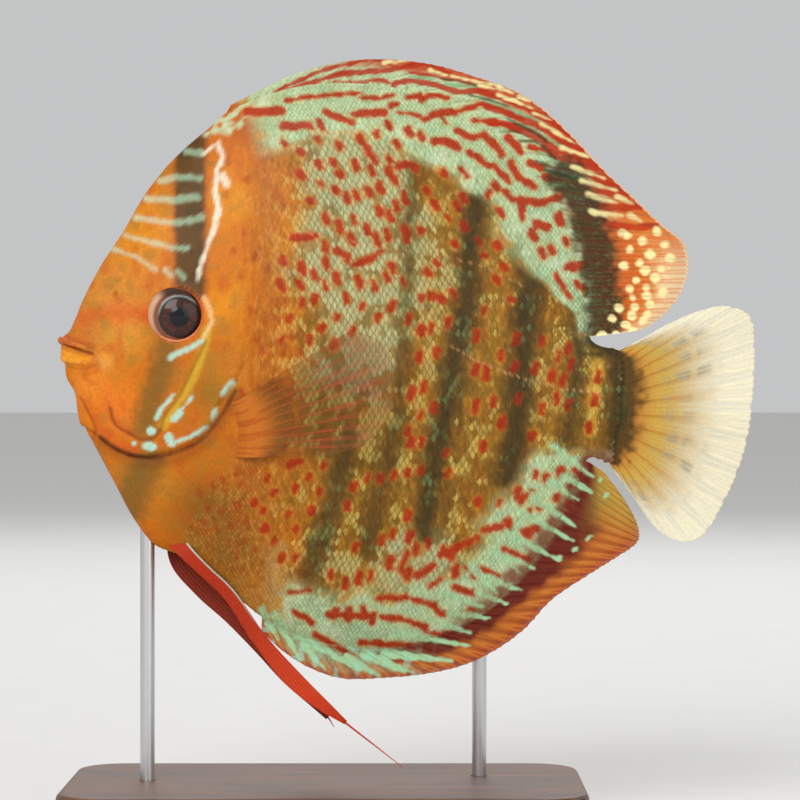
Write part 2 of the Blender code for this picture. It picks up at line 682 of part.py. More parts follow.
def pelvic(name, line, thread, parts, cutters, surface, grown):
    """A long narrow fin that trails under the belly and ends in a thread."""
    middle = along([point[:3] for point in line])
    lengths = np.linalg.norm(np.diff(np.array(line)[:, :3], axis=0), axis=1)
    pace = np.concatenate([[0], np.cumsum(lengths)]) / np.sum(lengths)
    width_at = through(list(zip(pace, [point[3] for point in line])))
    columns = 2 * PELVIC_RAYS

    def place(column, row):
        v = row / PELVIC_ROWS
        ahead, behind = min(v + PELVIC_STEP, 1.0), max(v - PELVIC_STEP, 0.0)
        here, run = middle(v), middle(ahead) - middle(behind)
        across = np.array([-run[2], 0.0, run[0]]) / math.hypot(run[0], run[2])
        offset = (2 * column / columns - 1) * float(width_at(v))
        return tuple(here + across * offset)

    bm = sheet(columns, PELVIC_ROWS, place)
    thickness = []
    for index in range(len(bm.verts)):
        column, row = index % (columns + 1), index // (columns + 1)
        ray = RAY_HALF + (TIP_HALF - RAY_HALF) * row / PELVIC_ROWS
        thickness.append(2 * (ray if column % 2 == 0 else WEB_HALF))
    blade = thicken(name, bm, thickness, parts, surface)
    last = len(thread) - 1
    radii = [THREAD_RADIUS * (1 - THREAD_TAPER * i / last) for i in range(len(thread))]
    combine(blade, hide(tube(name + "_thread", thread, radii, cutters, surface)), "UNION")
    combine(blade, grown, "DIFFERENCE")
    return settle(blade, parts)


def make_fins(parts, grown, cutters):
    soft, edge = material("fin_rust", RUST, 0.4), material("fin_amber", AMBER, 0.4)
    red, paddle = material("pelvic_red", RED, 0.4), material("pectoral_red", RED, 0.35)
    for name, keys, count, spines, heart, sway, surface in (
        ("dorsal_fin", DORSAL_RAYS, DORSAL_COUNT, DORSAL_SPINES, BODY_HEART, 0.5, soft),
        ("anal_fin", ANAL_RAYS, ANAL_COUNT, ANAL_SPINES, BODY_HEART, -0.5, soft),
        ("caudal_fin", CAUDAL_RAYS, CAUDAL_COUNT, 0, TAIL_HEART, 0.7, edge),
    ):
        middle_fin(name, keys, count, spines, heart, sway, parts, surface, grown)
    pectoral("pectoral_fin_left", -1, PECTORAL_SWING[0], parts, paddle, grown)
    pectoral("pectoral_fin_right", 1, PECTORAL_SWING[1], parts, paddle, grown)
    pelvic("pelvic_fin_left", NEAR_PELVIC, NEAR_THREAD, parts, cutters, red, grown)
    pelvic("pelvic_fin_right", FAR_PELVIC, FAR_THREAD, parts, cutters, red, grown)


def main():
    for old in list(bpy.data.objects):
        bpy.data.objects.remove(old)
    parts = bpy.data.collections.new("discus_fish")
    cutters = bpy.data.collections.new("cutters")
    for group in (parts, cutters):
        bpy.context.scene.collection.children.link(group)
    sockets = make_eyes(parts, cutters)
    holes = make_stand(parts, cutters)
    make_head(parts, cutters, sockets)
    make_trunk(parts, cutters, holes)
    make_tail_stalk(parts, cutters)
    make_fins(parts, grown_body(cutters), cutters)


main()
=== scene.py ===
"""The looks of a life-size discus fish model on its display stand.

Sizes and places are in millimetres in the part's own frame, and MM turns them into
metres where a mesh is made. The fish faces -X with its left side towards -Y.

The markings are drawn on a chart of the left side. Its unit is one pixel of the
photograph, which is 0.24 mm on the fish's middle plane, with x to the right and y down.
"""

import math

import bmesh
import bpy
import numpy as np
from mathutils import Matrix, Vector
from mathutils.kdtree import KDTree


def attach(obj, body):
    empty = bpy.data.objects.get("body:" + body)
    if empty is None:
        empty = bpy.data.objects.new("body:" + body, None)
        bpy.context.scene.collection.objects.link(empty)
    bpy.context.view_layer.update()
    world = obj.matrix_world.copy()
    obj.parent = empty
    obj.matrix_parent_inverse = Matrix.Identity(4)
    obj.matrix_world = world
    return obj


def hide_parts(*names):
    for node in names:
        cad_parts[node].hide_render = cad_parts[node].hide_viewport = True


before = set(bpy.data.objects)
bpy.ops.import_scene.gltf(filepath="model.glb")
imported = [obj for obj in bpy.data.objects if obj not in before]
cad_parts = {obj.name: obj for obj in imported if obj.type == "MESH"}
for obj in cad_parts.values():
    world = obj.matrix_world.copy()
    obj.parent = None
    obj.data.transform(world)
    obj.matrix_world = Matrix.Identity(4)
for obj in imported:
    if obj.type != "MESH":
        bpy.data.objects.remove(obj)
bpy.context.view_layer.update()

MM = 0.001
CHART_UNIT = 0.24
CHART_CENTRE = (400.0, 400.0)  # the middle of the chart, straight in front of the camera
VIEW_CENTRE = (18.0, 103.2)  # the x and z of the same place
VIEW_DISTANCE = 750.0

BACK_LINE = [
    (-63.2, 116.4), (-63.2, 117.8), (-61.2, 119.8), (-60.0, 122.2), (-58.4, 126.2),
    (-53.3, 136.1), (-48.5, 143.3), (-42.5, 153.4), (-35.8, 161.3), (-28.3, 168.0),
    (-23.3, 172.3), (-15.6, 175.9), (-6.0, 178.8), (6.0, 179.9), (18.0, 178.6),
    (30.0, 174.5), (42.0, 166.8), (51.6, 156.0), (57.6, 145.2), (61.7, 132.0),
    (63.1, 122.9), (64.3, 117.4), (66.5, 116.2), (68.9, 115.8), (71.3, 115.0),
]
BELLY_LINE = [
    (-63.2, 116.4), (-63.0, 114.2), (-62.4, 112.1), (-61.8, 108.5), (-60.0, 105.4),
    (-58.4, 98.5), (-54.7, 91.4), (-50.2, 83.0), (-45.4, 74.2), (-40.6, 68.3),
    (-34.8, 65.8), (-28.8, 62.6), (-24.7, 59.8), (-20.4, 55.2), (-15.1, 50.9),
    (-8.4, 47.0), (1.2, 44.2), (10.8, 43.2), (20.4, 44.2), (30.0, 47.5),
    (39.6, 53.3), (48.0, 61.9), (55.2, 72.0), (60.7, 82.8), (63.8, 89.3),
    (66.0, 88.9), (68.9, 87.6),
]
HALF_WIDTH = [
    (-63.2, 3.2), (-60.0, 4.4), (-54.0, 6.6), (-46.0, 8.9), (-38.0, 10.8), (-28.0, 12.8),
    (-18.0, 14.1), (-8.0, 14.5), (4.0, 13.8), (18.0, 12.0), (32.0, 9.5), (46.0, 6.9),
    (56.0, 5.0), (64.0, 3.6), (71.0, 2.6),
]
UPPER_RIM = [
    (-63.2, 2.0), (-50.0, 3.0), (-36.0, 3.2), (-24.0, 2.2), (-14.0, 1.4), (60.0, 1.2),
    (71.0, 1.0),
]
LOWER_RIM = [
    (-63.2, 2.0), (-55.0, 3.0), (-43.0, 3.6), (-34.0, 3.2), (-22.0, 2.2), (-10.0, 1.4),
    (60.0, 1.2), (71.0, 1.0),
]
WIDEST_AT = [(-63.2, 0.5), (-36.0, 0.48), (-20.0, 0.45), (10.0, 0.46), (71.0, 0.5)]
SECTION_BOW = [(0.0, 0.0), (0.5, 0.0), (0.7, -6.0), (0.8, -9.0), (0.9, -5.0), (1.0, 2.6)]
MIDDLE_LEAN = 0.7
RIM_POWER, FLANK_POWER = 0.15, 0.9
SNOUT_ROUNDING = 0.02
GILL_LINE = [
    (-26.6, 178.0), (-25.9, 165.6), (-24.0, 156.0), (-20.4, 139.2), (-18.7, 124.8),
    (-19.2, 110.9), (-21.6, 106.8), (-24.7, 102.7), (-25.9, 98.9), (-28.8, 95.0),
    (-32.4, 92.6), (-37.2, 91.0), (-42.0, 89.8), (-46.8, 90.2), (-50.9, 92.4),
    (-54.0, 95.0), (-57.0, 97.0), (-64.0, 98.5),
]


def through(keys):
    """A smooth function of x through (x, value) keys."""
    x, v = np.array(keys, float).T
    slope = np.gradient(v, x)

    def at(q):
        q = np.clip(np.asarray(q, float), x[0], x[-1])
        i = np.clip(np.searchsorted(x, q, side="right") - 1, 0, len(x) - 2)
        h = x[i + 1] - x[i]
        f = (q - x[i]) / h
        ease = f * f * (3 - 2 * f)
        bend = slope[i] * h * f * (1 - f) ** 2 + slope[i + 1] * h * f * f * (f - 1)
        return v[i] * (1 - ease) + v[i + 1] * ease + bend

    return at


def along(points, even=False):
    """A smooth curve through points, as a function of 0 to 1, paced by length or evenly."""
    p = np.array(points, float)
    steps = np.ones(len(p) - 1) if even else np.linalg.norm(np.diff(p, axis=0), axis=1)
    pace = np.concatenate([[0.0], np.cumsum(steps)]) / np.sum(steps)
    parts = [through(list(zip(pace, p[:, axis]))) for axis in range(p.shape[1])]
    return lambda u: np.stack([part(u) for part in parts], axis=-1)


def smooth_step(low, high, x):
    """From 0 at low to 1 at high, which may be the smaller of the two."""
    f = np.clip((x - low) / (high - low), 0.0, 1.0)
    return f * f * (3 - 2 * f)


def line_distance(points, x, z):
    """How far each (x, z) lies from a run of straight pieces."""
    p = np.array(points, float)
    best = np.full(np.shape(x), 1e9)
    for a, b in zip(p[:-1], p[1:]):
        run = b - a
        f = ((x - a[0]) * run[0] + (z - a[1]) * run[1]) / max(run.dot(run), 1e-9)
        f = np.clip(f, 0.0, 1.0)
        best = np.minimum(best, np.hypot(x - a[0] - f * run[0], z - a[1] - f * run[1]))
    return best


back_line, belly_line = along(BACK_LINE), along(BELLY_LINE)
half_width, upper_rim, lower_rim = through(HALF_WIDTH), through(UPPER_RIM), through(LOWER_RIM)
widest_at, section_bow = through(WIDEST_AT), through(SECTION_BOW)


def flesh(s, t):
    """The left side's x, y and z: s runs from snout to tail, t from belly -1 to back 1."""
    top, low = back_line(s), belly_line(s)
    middle_x = (top[..., 0] + low[..., 0]) / 2 + MIDDLE_LEAN * section_bow(s)
    middle = low + (top - low) * widest_at(middle_x)[..., None]
    place = middle + np.where(t[..., None] > 0, top - middle, middle - low) * t[..., None]
    inward = 1 - t * t
    rim = np.where(t > 0, upper_rim(middle_x), lower_rim(middle_x))
    rim = rim + (0.5 * (upper_rim(middle_x) + lower_rim(middle_x)) - rim) * inward
    y = rim * inward**RIM_POWER + (half_width(middle_x) - rim) * inward**FLANK_POWER
    y *= np.sqrt(1 - (1 - np.clip(s / SNOUT_ROUNDING, 0, 1)) ** 2)
    return place[..., 0] + section_bow(s) * inward, -y, place[..., 1]


def inside(outline, x, z):
    """Whether each (x, z) lies inside a closed outline."""
    p = np.array(outline, float)
    q = np.roll(p, -1, axis=0)
    found = np.zeros(np.shape(x), bool)
    for (ax, az), (bx, bz) in zip(p, q):
        if az != bz:
            crosses = (az > z) != (bz > z)
            found ^= crosses & (x < ax + (z - az) * (bx - ax) / (bz - az))
    return found


HEAD_OUTLINE = GILL_LINE + [(-95.0, 98.5), (-95.0, 215.0), (-26.6, 215.0)]
BODY_OUTLINE = BACK_LINE + BELLY_LINE[::-1]


def chart(x, y, z):
    """Where a place on either side shows on the chart."""
    scale = VIEW_DISTANCE / (VIEW_DISTANCE - np.abs(y)) / CHART_UNIT
    across, up = (x - VIEW_CENTRE[0]) * scale, (z - VIEW_CENTRE[1]) * scale
    return CHART_CENTRE[0] + across, CHART_CENTRE[1] - up


def noise(u, v, size, seed):
    """Smooth noise from -1 to 1 whose bumps are size apart."""
    table = np.random.default_rng(seed).uniform(-1, 1, (128, 128))
    a, b = u / size, v / size
    i, j = np.floor(a).astype(int), np.floor(b).astype(int)
    f, g = a - i, b - j
    f, g = f * f * (3 - 2 * f), g * g * (3 - 2 * g)
    left = table[i % 128, j % 128] * (1 - g) + table[i % 128, (j + 1) % 128] * g
    right = table[(i + 1) % 128, j % 128] * (1 - g) + table[(i + 1) % 128, (j + 1) % 128] * g
    return left * (1 - f) + right * f


def patches(u, v, size, seed, low, high):
    """Noise made into patches: 0 where it is under low and 1 where it is over high."""
    return smooth_step(low, high, noise(u, v, size, seed))


def fading(u, v, place, spread):
    """1 at a place on the chart, fading round it; spread is in square units."""
    return np.exp(-((u - place[0]) ** 2 + (v - place[1]) ** 2) / spread)


def colour(red, green, blue):
    """A screen colour from 0 to 255 as linear light."""
    c = np.array((red, green, blue), float) / 255
    return np.where(c <= 0.04045, c / 12.92, ((c + 0.055) / 1.055) ** 2.4)


def tint(canvas, shade, amount):
    """Mixes a colour into the canvas by an amount for each point."""
    canvas += (np.asarray(shade) - canvas) * np.clip(amount, 0, 1)[:, None]


def stroke(u, v, points, width, soft=2.0, rough=1.0, seed=7, tip=None):
    """How much each point lies in a brush stroke, whose edge wanders by rough.

    Given a tip, the width changes evenly to it along the stroke.
    """
    p = np.array(points if len(points) > 1 else [points[0], np.add(points[0], 0.01)], float)
    reach = width / 2 + soft + rough + 1
    near = (u > p[:, 0].min() - reach) & (u < p[:, 0].max() + reach)
    near &= (v > p[:, 1].min() - reach) & (v < p[:, 1].max() + reach)
    amount = np.zeros(len(u))
    if near.any():
        x, y = u[near], v[near]
        size = width
        if tip is not None:
            run = p[-1] - p[0]
            along_run = ((x - p[0, 0]) * run[0] + (y - p[0, 1]) * run[1]) / run.dot(run)
            size = width + (tip - width) * np.clip(along_run, 0, 1)
        away = line_distance(p, x, y) - size / 2 + rough * noise(x, y, 5.0, seed)
        amount[near] = smooth_step(soft / 2, -soft / 2, away)
    return amount


def curved(points):
    """The places of a smooth curve through points on the chart."""
    return along(points)(np.linspace(0, 1, 6 * len(points)))


def draw(shades, u, v, runs, shade, strength, soft, rough, wider=0.0, smooth=False, tip=None):
    """Paints strokes in one colour; a tip is given as a share of each stroke's width."""
    for width, run in runs:
        end = None if tip is None else tip * width
        run = curved(run) if smooth else run
        tint(shades, shade, strength * stroke(u, v, run, width + wider, soft, rough, tip=end))


# The markings, on the chart. A stroke is its width and the places it runs through.
MINT, PALE_MINT, SEA = colour(164, 184, 132), colour(188, 208, 164), colour(116, 164, 124)
RED, DEEP_RED, ORANGE = colour(168, 42, 8), colour(120, 32, 10), colour(196, 106, 12)
WHITE, MAROON, HALO = colour(228, 226, 196), colour(96, 30, 18), colour(198, 132, 38)
BROWN, DARK, OLIVE = colour(84, 60, 22), colour(62, 50, 22), colour(108, 84, 32)
FLANK, YELLOW, BAR_DASH = colour(132, 92, 26), colour(200, 180, 92), colour(104, 124, 74)
DORSAL_BLACK = colour(52, 44, 24)

# Soft washes of the head and breast: place, reach and colour.
FACE_WASHES = [
    (110, 290, 46, (204, 132, 52)), (92, 330, 18, (186, 98, 40)), (120, 335, 20, (204, 150, 50)),
    (104, 362, 8, (214, 158, 76)), (120, 318, 10, (214, 104, 36)), (146, 314, 8, (206, 84, 28)),
    (90, 385, 20, (226, 134, 42)), (115, 405, 24, (226, 124, 34)), (120, 428, 10, (212, 112, 38)),
    (175, 372, 14, (180, 108, 36)), (212, 392, 20, (134, 98, 28)), (222, 358, 18, (170, 112, 28)),
    (190, 430, 14, (182, 100, 32)), (150, 225, 40, (206, 130, 34)), (216, 312, 12, (220, 136, 26)),
    (236, 200, 28, (224, 142, 20)), (228, 300, 24, (214, 134, 22)), (250, 125, 22, (168, 78, 26)),
    (272, 240, 28, (204, 122, 16)), (252, 372, 26, (190, 112, 26)), (130, 470, 16, (190, 116, 28)),
    (165, 485, 24, (198, 124, 30)), (207, 510, 36, (118, 80, 24)), (235, 550, 40, (130, 88, 28)),
    (250, 610, 24, (180, 128, 56)), (236, 448, 18, (176, 100, 28)), (285, 180, 18, (196, 112, 24)),
    (300, 495, 30, (124, 88, 28)), (140, 235, 24, (212, 134, 24)), (118, 405, 14, (214, 110, 30)),
]
EYE_BAR = [(29, [(192, 130), (190, 170), (190, 215), (190, 288)])]
FOREHEAD_STRIPES = [
    (6, [(186, 151), (201, 153)]), (5, [(160, 181), (178, 177), (200, 178)]),
    (6, [(147, 199), (172, 200), (197, 197)]), (5, [(136, 218), (165, 222), (184, 222), (202, 217)]),
    (4, [(125, 235), (150, 242), (172, 247), (187, 248)]), (3.5, [(114, 249), (135, 257), (156, 270)]),
    (5, [(166, 270), (172, 276)]), (5, [(178, 272), (184, 278)]),
]
WAVY_LINE = [
    (3, [(204, 153), (212, 147), (219, 141)]),
    (5.5, [(218, 146), (222, 157), (218, 168), (216, 192), (217, 214), (214, 230)]),
    (7, [(222, 176), (227, 184)]), (4.5, [(217, 196), (218, 216)]),
    (3.8, [(214, 228), (207, 248), (200, 268), (198, 280)]),
]
NAPE_MINT = [
    (4.5, [(206, 134), (218, 129), (229, 130), (238, 124), (250, 112), (262, 104)]),
    (4, [(216, 122), (232, 116), (246, 103), (264, 92), (284, 84)]), (6, [(224, 126), (232, 123)]),
]
CHEEK_MINT = [
    (5.5, [(202, 341), (194, 345), (188, 349), (180, 352), (171, 357)]),
    (4, [(173, 395), (166, 404), (160, 411), (157, 418)]), (3, [(193, 396), (186, 404), (182, 409)]),
    (7, [(180, 413), (174, 419)]), (8.5, [(151, 431)]), (8, [(146, 446), (153, 447)]),
    (4.5, [(134, 443)]), (8.5, [(168, 437), (172, 443)]), (4.5, [(178, 441), (190, 437), (206, 427)]),
    (4.5, [(215, 411), (212, 419)]), (4.5, [(233, 382), (227, 388), (223, 393)]),
]
EYE_STREAK = [(4, [(204, 298), (208, 305), (211, 314), (212, 322), (207, 331), (203, 338)])]
CHEEK_YELLOW = [(9, [(207, 330), (203, 350), (195, 372), (185, 392), (175, 408), (163, 426)])]
# Creases of the cheek, throat and chin; the dark paint along them is painted shade.
CHEEK_LINES = [
    (3, [(205, 342), (192, 370), (178, 398), (165, 416), (160, 430)]),
    (3, [(110, 408), (115, 424), (130, 434), (143, 440), (155, 437), (160, 430)]),
    (2.5, [(80, 397), (85, 405), (92, 420), (96, 430), (93, 440)]),
    (1.6, [(68, 366), (76, 369), (86, 369), (95, 365)]),
]
GILL_SHADOW = [
    (4, [
        (100, 437), (115, 448), (135, 456), (158, 457), (180, 451), (205, 437), (218, 420),
        (236, 390),
    ]),
]
CHEEK_BAR = [(24, [(166, 348), (158, 380), (144, 425)])]
BREAST_BAR = [(34, [(148, 464), (136, 486), (128, 508)])]
SOFT_RED = [
    (12, [(84, 318), (104, 313), (128, 313), (150, 318)]), (7, [(108, 352), (118, 344), (121, 334)]),
]
JAW_RED = [
    (7, [(88, 400), (98, 424), (112, 440), (136, 450)]), (5, [(106, 396), (112, 418), (126, 430)]),
]
MOUTH_LINE = [(60, 342), (72, 347), (82, 351), (92, 354)]
MOUTH_FOLD = [(92, 354), (97, 359), (98, 364)]
LOWER_GLOW = [(10, [(60, 353), (72, 357), (88, 360)]), (4, [(103, 354), (110, 360)])]
BARS = [
    (14, 0.6, [(412, 170), (409, 240), (407, 300), (403, 360), (398, 415)]),
    (20, 0.62, [(396, 430), (386, 470), (376, 505), (368, 545)]),
    (24, 0.92, [(478, 200), (470, 248), (467, 296), (456, 352), (445, 414), (430, 488), (424, 530)]),
    (27, 0.92, [(528, 240), (530, 280), (526, 322), (520, 377), (515, 440), (508, 476)]),
    (16, 0.85, [(582, 300), (577, 350), (573, 398), (568, 440)]),
    (22, 0.72, [(350, 440), (340, 480), (324, 530), (308, 575)]),
    (18, 0.9, [(619, 340), (615, 380), (617, 411), (612, 468)]),
]
TAIL_YELLOW = [(11, [(600, 352), (595, 398), (590, 432)])]
FRONT_BAR = [(30, [(266, 120), (262, 180), (266, 300), (262, 420), (246, 520)])]
SHOULDER_SPOTS = [
    (244, 233), (283, 206), (274, 230), (255, 257), (281, 288), (286, 300), (278, 319), (291, 334),
    (274, 380), (262, 350), (250, 310), (240, 275), (262, 205), (248, 180), (268, 270), (288, 262),
    (256, 340), (282, 352), (242, 392), (264, 412), (280, 430), (234, 250), (292, 392), (288, 410),
    (228, 160), (227, 195), (300, 352), (270, 452), (284, 446), (296, 430),
]
DORSAL_BAR = [(36, [(566, 176), (584, 205), (597, 250), (603, 300), (605, 340)])]
# Pale dots along each lateral line: painted glints on its scales.
LATERAL_GLINTS = [
    [(300, 232), (340, 239), (372, 245), (429, 254), (475, 264), (520, 284)],
    [(452, 346), (472, 358), (500, 370), (525, 379), (560, 388), (596, 393)],
]
# How much of the flank light dashes cover: place, reach and share.
DASH_COVER = [
    (340, 190, 44, 0.76), (345, 270, 40, 0.72), (390, 265, 26, 0.7), (434, 270, 17, 0.6),
    (434, 340, 17, 0.56), (428, 400, 17, 0.5), (412, 455, 24, 0.5), (492, 240, 18, 0.5),
    (345, 345, 36, 0.7), (296, 330, 22, 0.42), (300, 430, 30, 0.36), (290, 500, 26, 0.34),
    (350, 520, 20, 0.36), (398, 500, 18, 0.46), (462, 480, 22, 0.16), (490, 340, 13, 0.2),
    (495, 300, 14, 0.26), (553, 350, 13, 0.52), (545, 400, 13, 0.42), (548, 290, 12, 0.22),
    (500, 430, 18, 0.16), (440, 175, 13, 0.05), (250, 200, 36, 0.05), (240, 330, 30, 0.1),
    (230, 450, 40, 0.12), (520, 210, 12, 0.3), (556, 310, 12, 0.25), (480, 520, 20, 0.45),
    (340, 575, 26, 0.6), (420, 560, 24, 0.75), (596, 395, 12, 0.45), (540, 450, 18, 0.35),
]
STREAKS = [
    (5, [(286, 101), (319, 96), (361, 93)]), (4, [(361, 97), (380, 98), (392, 95)]),
    (9, [(246, 112), (281, 111)]), (8, [(283, 126), (311, 126)]), (7, [(319, 121), (323, 129)]),
    (7, [(325, 112), (351, 122)]), (8, [(353, 114), (384, 112)]), (7, [(391, 106), (397, 104)]),
    (4.5, [(397, 112), (410, 113), (419, 116)]),
    (5, [(408, 98), (420, 96), (421, 101), (430, 95), (448, 98)]),
    (7, [(424, 119), (440, 113), (460, 111), (480, 104), (495, 105), (510, 112), (522, 119)]),
    (4, [(437, 113), (446, 123)]), (5.5, [(473, 120), (490, 122), (505, 124), (520, 130)]),
    (7.5, [(457, 131), (470, 137), (485, 135), (495, 145), (502, 155)]),
    (8, [(435, 141), (445, 141), (458, 147)]), (8, [(507, 137), (513, 142), (521, 152)]),
    (6, [(529, 147), (540, 150)]), (7, [(470, 153), (480, 160), (488, 166)]),
    (7.5, [(494, 165), (508, 181)]), (7.5, [(511, 162), (519, 177), (535, 187)]),
    (8, [(530, 163), (540, 168)]), (7, [(543, 176), (554, 179)]), (6, [(460, 167), (468, 177)]),
    (7, [(488, 197), (490, 192)]), (6.5, [(505, 191), (514, 200)]), (7, [(521, 201), (523, 219)]),
    (8, [(519, 200), (540, 203), (561, 196)]), (6, [(556, 275), (570, 298)]),
    (9, [(399, 167), (407, 164), (416, 169)]), (9, [(294, 237), (316, 236)]),
    (8, [(337, 250), (347, 256), (347, 261)]), (8, [(354, 265), (373, 258), (380, 251)]),
    (8, [(288, 465), (300, 462)]), (10, [(537, 225), (547, 227)]), (9, [(559, 216), (560, 224)]),
    (8, [(531, 231), (535, 238)]), (8, [(567, 266), (586, 264)]), (8, [(577, 284), (586, 291)]),
    (7, [(379, 598), (408, 597)]), (7, [(413, 599), (434, 605), (441, 614), (468, 614)]),
    (7, [(455, 588), (476, 593), (503, 601)]), (7, [(382, 617), (400, 619), (425, 627)]),
    (7, [(360, 643), (408, 645), (440, 651)]), (5.5, [(394, 661), (434, 664)]),
    (6.5, [(426, 635), (466, 633)]), (7.5, [(329, 614), (348, 615), (372, 616)]),
    (6, [(295, 612), (313, 624)]), (7, [(315, 635), (334, 644), (352, 657)]),
    (5, [(289, 593), (310, 590)]), (7, [(466, 567), (482, 569), (497, 576)]),
    (8, [(504, 551), (529, 559)]), (8, [(483, 530), (502, 526)]),
    (8, [(445, 554), (466, 543), (476, 538)]), (8, [(417, 576), (432, 566)]),
    (10, [(525, 533), (536, 528)]), (7, [(545, 525), (574, 538)]), (7, [(516, 498), (532, 494)]),
    (6, [(440, 579), (430, 586)]), (6, [(562, 512), (588, 522)]), (7, [(575, 470), (590, 486)]),
]
FLANK_SPOTS = [
    (284, 143), (301, 153), (301, 174), (318, 140), (319, 165), (339, 146), (333, 162), (340, 174),
    (336, 191), (321, 184), (311, 201), (360, 139), (377, 134), (389, 125), (409, 132), (397, 144),
    (367, 150), (355, 165), (374, 159), (389, 159), (389, 171), (372, 171), (395, 181), (368, 192),
    (356, 195), (347, 198), (380, 188), (405, 198), (396, 206), (380, 211), (390, 216), (354, 220),
    (326, 219), (339, 227), (367, 229), (351, 239), (377, 239), (387, 234), (406, 236), (325, 246),
    (326, 263), (283, 260), (302, 268), (314, 275), (392, 268), (336, 278), (325, 285), (374, 285),
    (359, 282), (387, 277), (403, 281), (281, 285), (346, 298), (301, 302), (315, 300), (501, 213),
    (566, 241), (542, 253), (552, 250), (573, 267), (463, 198), (464, 226), (449, 219), (435, 205),
    (456, 206), (427, 191), (406, 230), (420, 230), (479, 241), (455, 244), (497, 246), (484, 256),
    (504, 268), (497, 279), (436, 263), (428, 272), (431, 295), (422, 298), (453, 293), (442, 299),
    (511, 299), (421, 136), (495, 187), (443, 172), (337, 318), (322, 328), (362, 306), (378, 318),
    (300, 285), (290, 318), (352, 330), (392, 306), (310, 340), (282, 340), (334, 345), (408, 320),
    (431, 328), (421, 331), (448, 322), (484, 311), (476, 336), (516, 338), (543, 341), (420, 356),
    (436, 353), (501, 356), (515, 366), (535, 367), (559, 356), (568, 349), (486, 373), (475, 370),
    (551, 376), (563, 380), (598, 377), (571, 364), (411, 394), (423, 387), (493, 401), (476, 407),
    (518, 398), (557, 398), (595, 400), (568, 405), (542, 409), (502, 423), (589, 428), (421, 414),
    (434, 407), (408, 430), (421, 442), (411, 443), (483, 446), (446, 453), (421, 470), (408, 472),
    (448, 473), (532, 435), (477, 502), (500, 503), (518, 492), (522, 500), (536, 475), (546, 478),
    (560, 472), (571, 484), (557, 498), (540, 505), (529, 512), (568, 505), (588, 463), (268, 478),
    (274, 493), (295, 489), (309, 476), (324, 465), (254, 502), (262, 511), (289, 514), (265, 528),
    (296, 528), (274, 541), (281, 558), (295, 558), (319, 492), (312, 510), (354, 486), (368, 478),
    (380, 479), (394, 475), (347, 506), (355, 548), (382, 540), (393, 534), (408, 516), (410, 537),
    (428, 544), (417, 549), (390, 563), (406, 555), (402, 566), (408, 575), (442, 552), (452, 554),
    (455, 572), (331, 575), (345, 583), (359, 579), (370, 577), (335, 614), (348, 614), (362, 613),
    (373, 618), (507, 525), (530, 533), (475, 572), (470, 612),
]
BREAST_SPOTS = SHOULDER_SPOTS + [
    (200, 492), (213, 486), (226, 494), (208, 508), (222, 512), (237, 506), (216, 528), (231, 526),
    (246, 522), (204, 524), (228, 542), (243, 540), (236, 556), (254, 549), (222, 480), (240, 484),
    (250, 470), (236, 472),
]
# How many painted glints lie along each lateral line.
GLINT_COUNT = 22
FINGER_ROOT = 14  # how much further inside the belly's band a finger begins


def moved(run, across, down):
    """A run of places, shifted on the chart."""
    return [(pu + across, pv + down) for pu, pv in run]


def rim_distance(x, z):
    """How far a place lies from the back's edge and from the belly's edge, in mm."""
    return line_distance(BACK_LINE[8:], x, z), line_distance(BELLY_LINE[8:], x, z)


def dash_cover(u, v):
    """The share of a place that light dashes cover, between the places given."""
    total, weight = np.full(len(u), 0.02 * 0.25), np.full(len(u), 0.02)
    for place_u, place_v, reach, share in DASH_COVER:
        near = fading(u, v, (place_u, place_v), 1.3 * reach**2)
        total += near * share
        weight += near
    return total / weight


def wandered(u, v, side):
    """The chart place whose marks show here: the right side's spots are spots of its own."""
    if side < 0:
        return u, v
    return u + 9 * noise(u, v, 46.0, 31), v + 9 * noise(u, v, 46.0, 32)


def paint_warm(u, v, cloud):
    """The skin's own colour, without bars or mint: the washed face, ripples and streaks."""
    base = np.tile(FLANK, (len(u), 1))
    tint(base, colour(158, 112, 36), 0.6 * smooth_step(-0.5, 0.8, cloud))
    front = smooth_step(318 + 14 * cloud, 272 + 14 * cloud, u + 0.06 * (300 - v))
    tint(base, ORANGE, front)
    for place_u, place_v, reach, shade in FACE_WASHES:
        near = fading(u, v, (place_u, place_v), 1.2 * reach**2)
        tint(base, colour(*shade), 0.8 * near * smooth_step(330, 290, u))
    draw(base, u, v, FRONT_BAR, colour(150, 72, 22), 0.4, 24, 4)
    face = smooth_step(262, 226, u)
    patch = noise(u, v, 15.0, 33) + 0.6 * noise(u, v, 6.5, 34)
    tint(base, colour(182, 80, 22), 0.55 * face * smooth_step(0.1, 1.2, patch))
    tint(base, colour(150, 112, 38), 0.5 * face * smooth_step(-0.1, -1.1, patch))
    freckle = patches(u, v, 2.6, 35, 0.5, 0.85)
    tint(base, colour(150, 58, 18), 0.34 * face * freckle * patches(u, v, 22.0, 36, -0.2, 0.6))
    ripple = noise(u, v * 0.45, 4.0, 5) + 0.5 * noise(u, v * 0.4, 2.2, 6)
    tint(base, colour(160, 72, 18), 0.3 * smooth_step(0.0, 0.9, ripple) * smooth_step(205, 240, u))
    streak = noise(u, v * 0.3, 1.7, 37) + 0.6 * noise(u, v * 0.22, 3.4, 38)
    tint(base, 0.62 * base, 0.5 * smooth_step(0.1, 1.0, streak) * smooth_step(218, 285, u))
    tint(base, colour(206, 142, 44), 0.4 * smooth_step(-0.2, -1.0, streak) * smooth_step(212, 262, u))
    return base


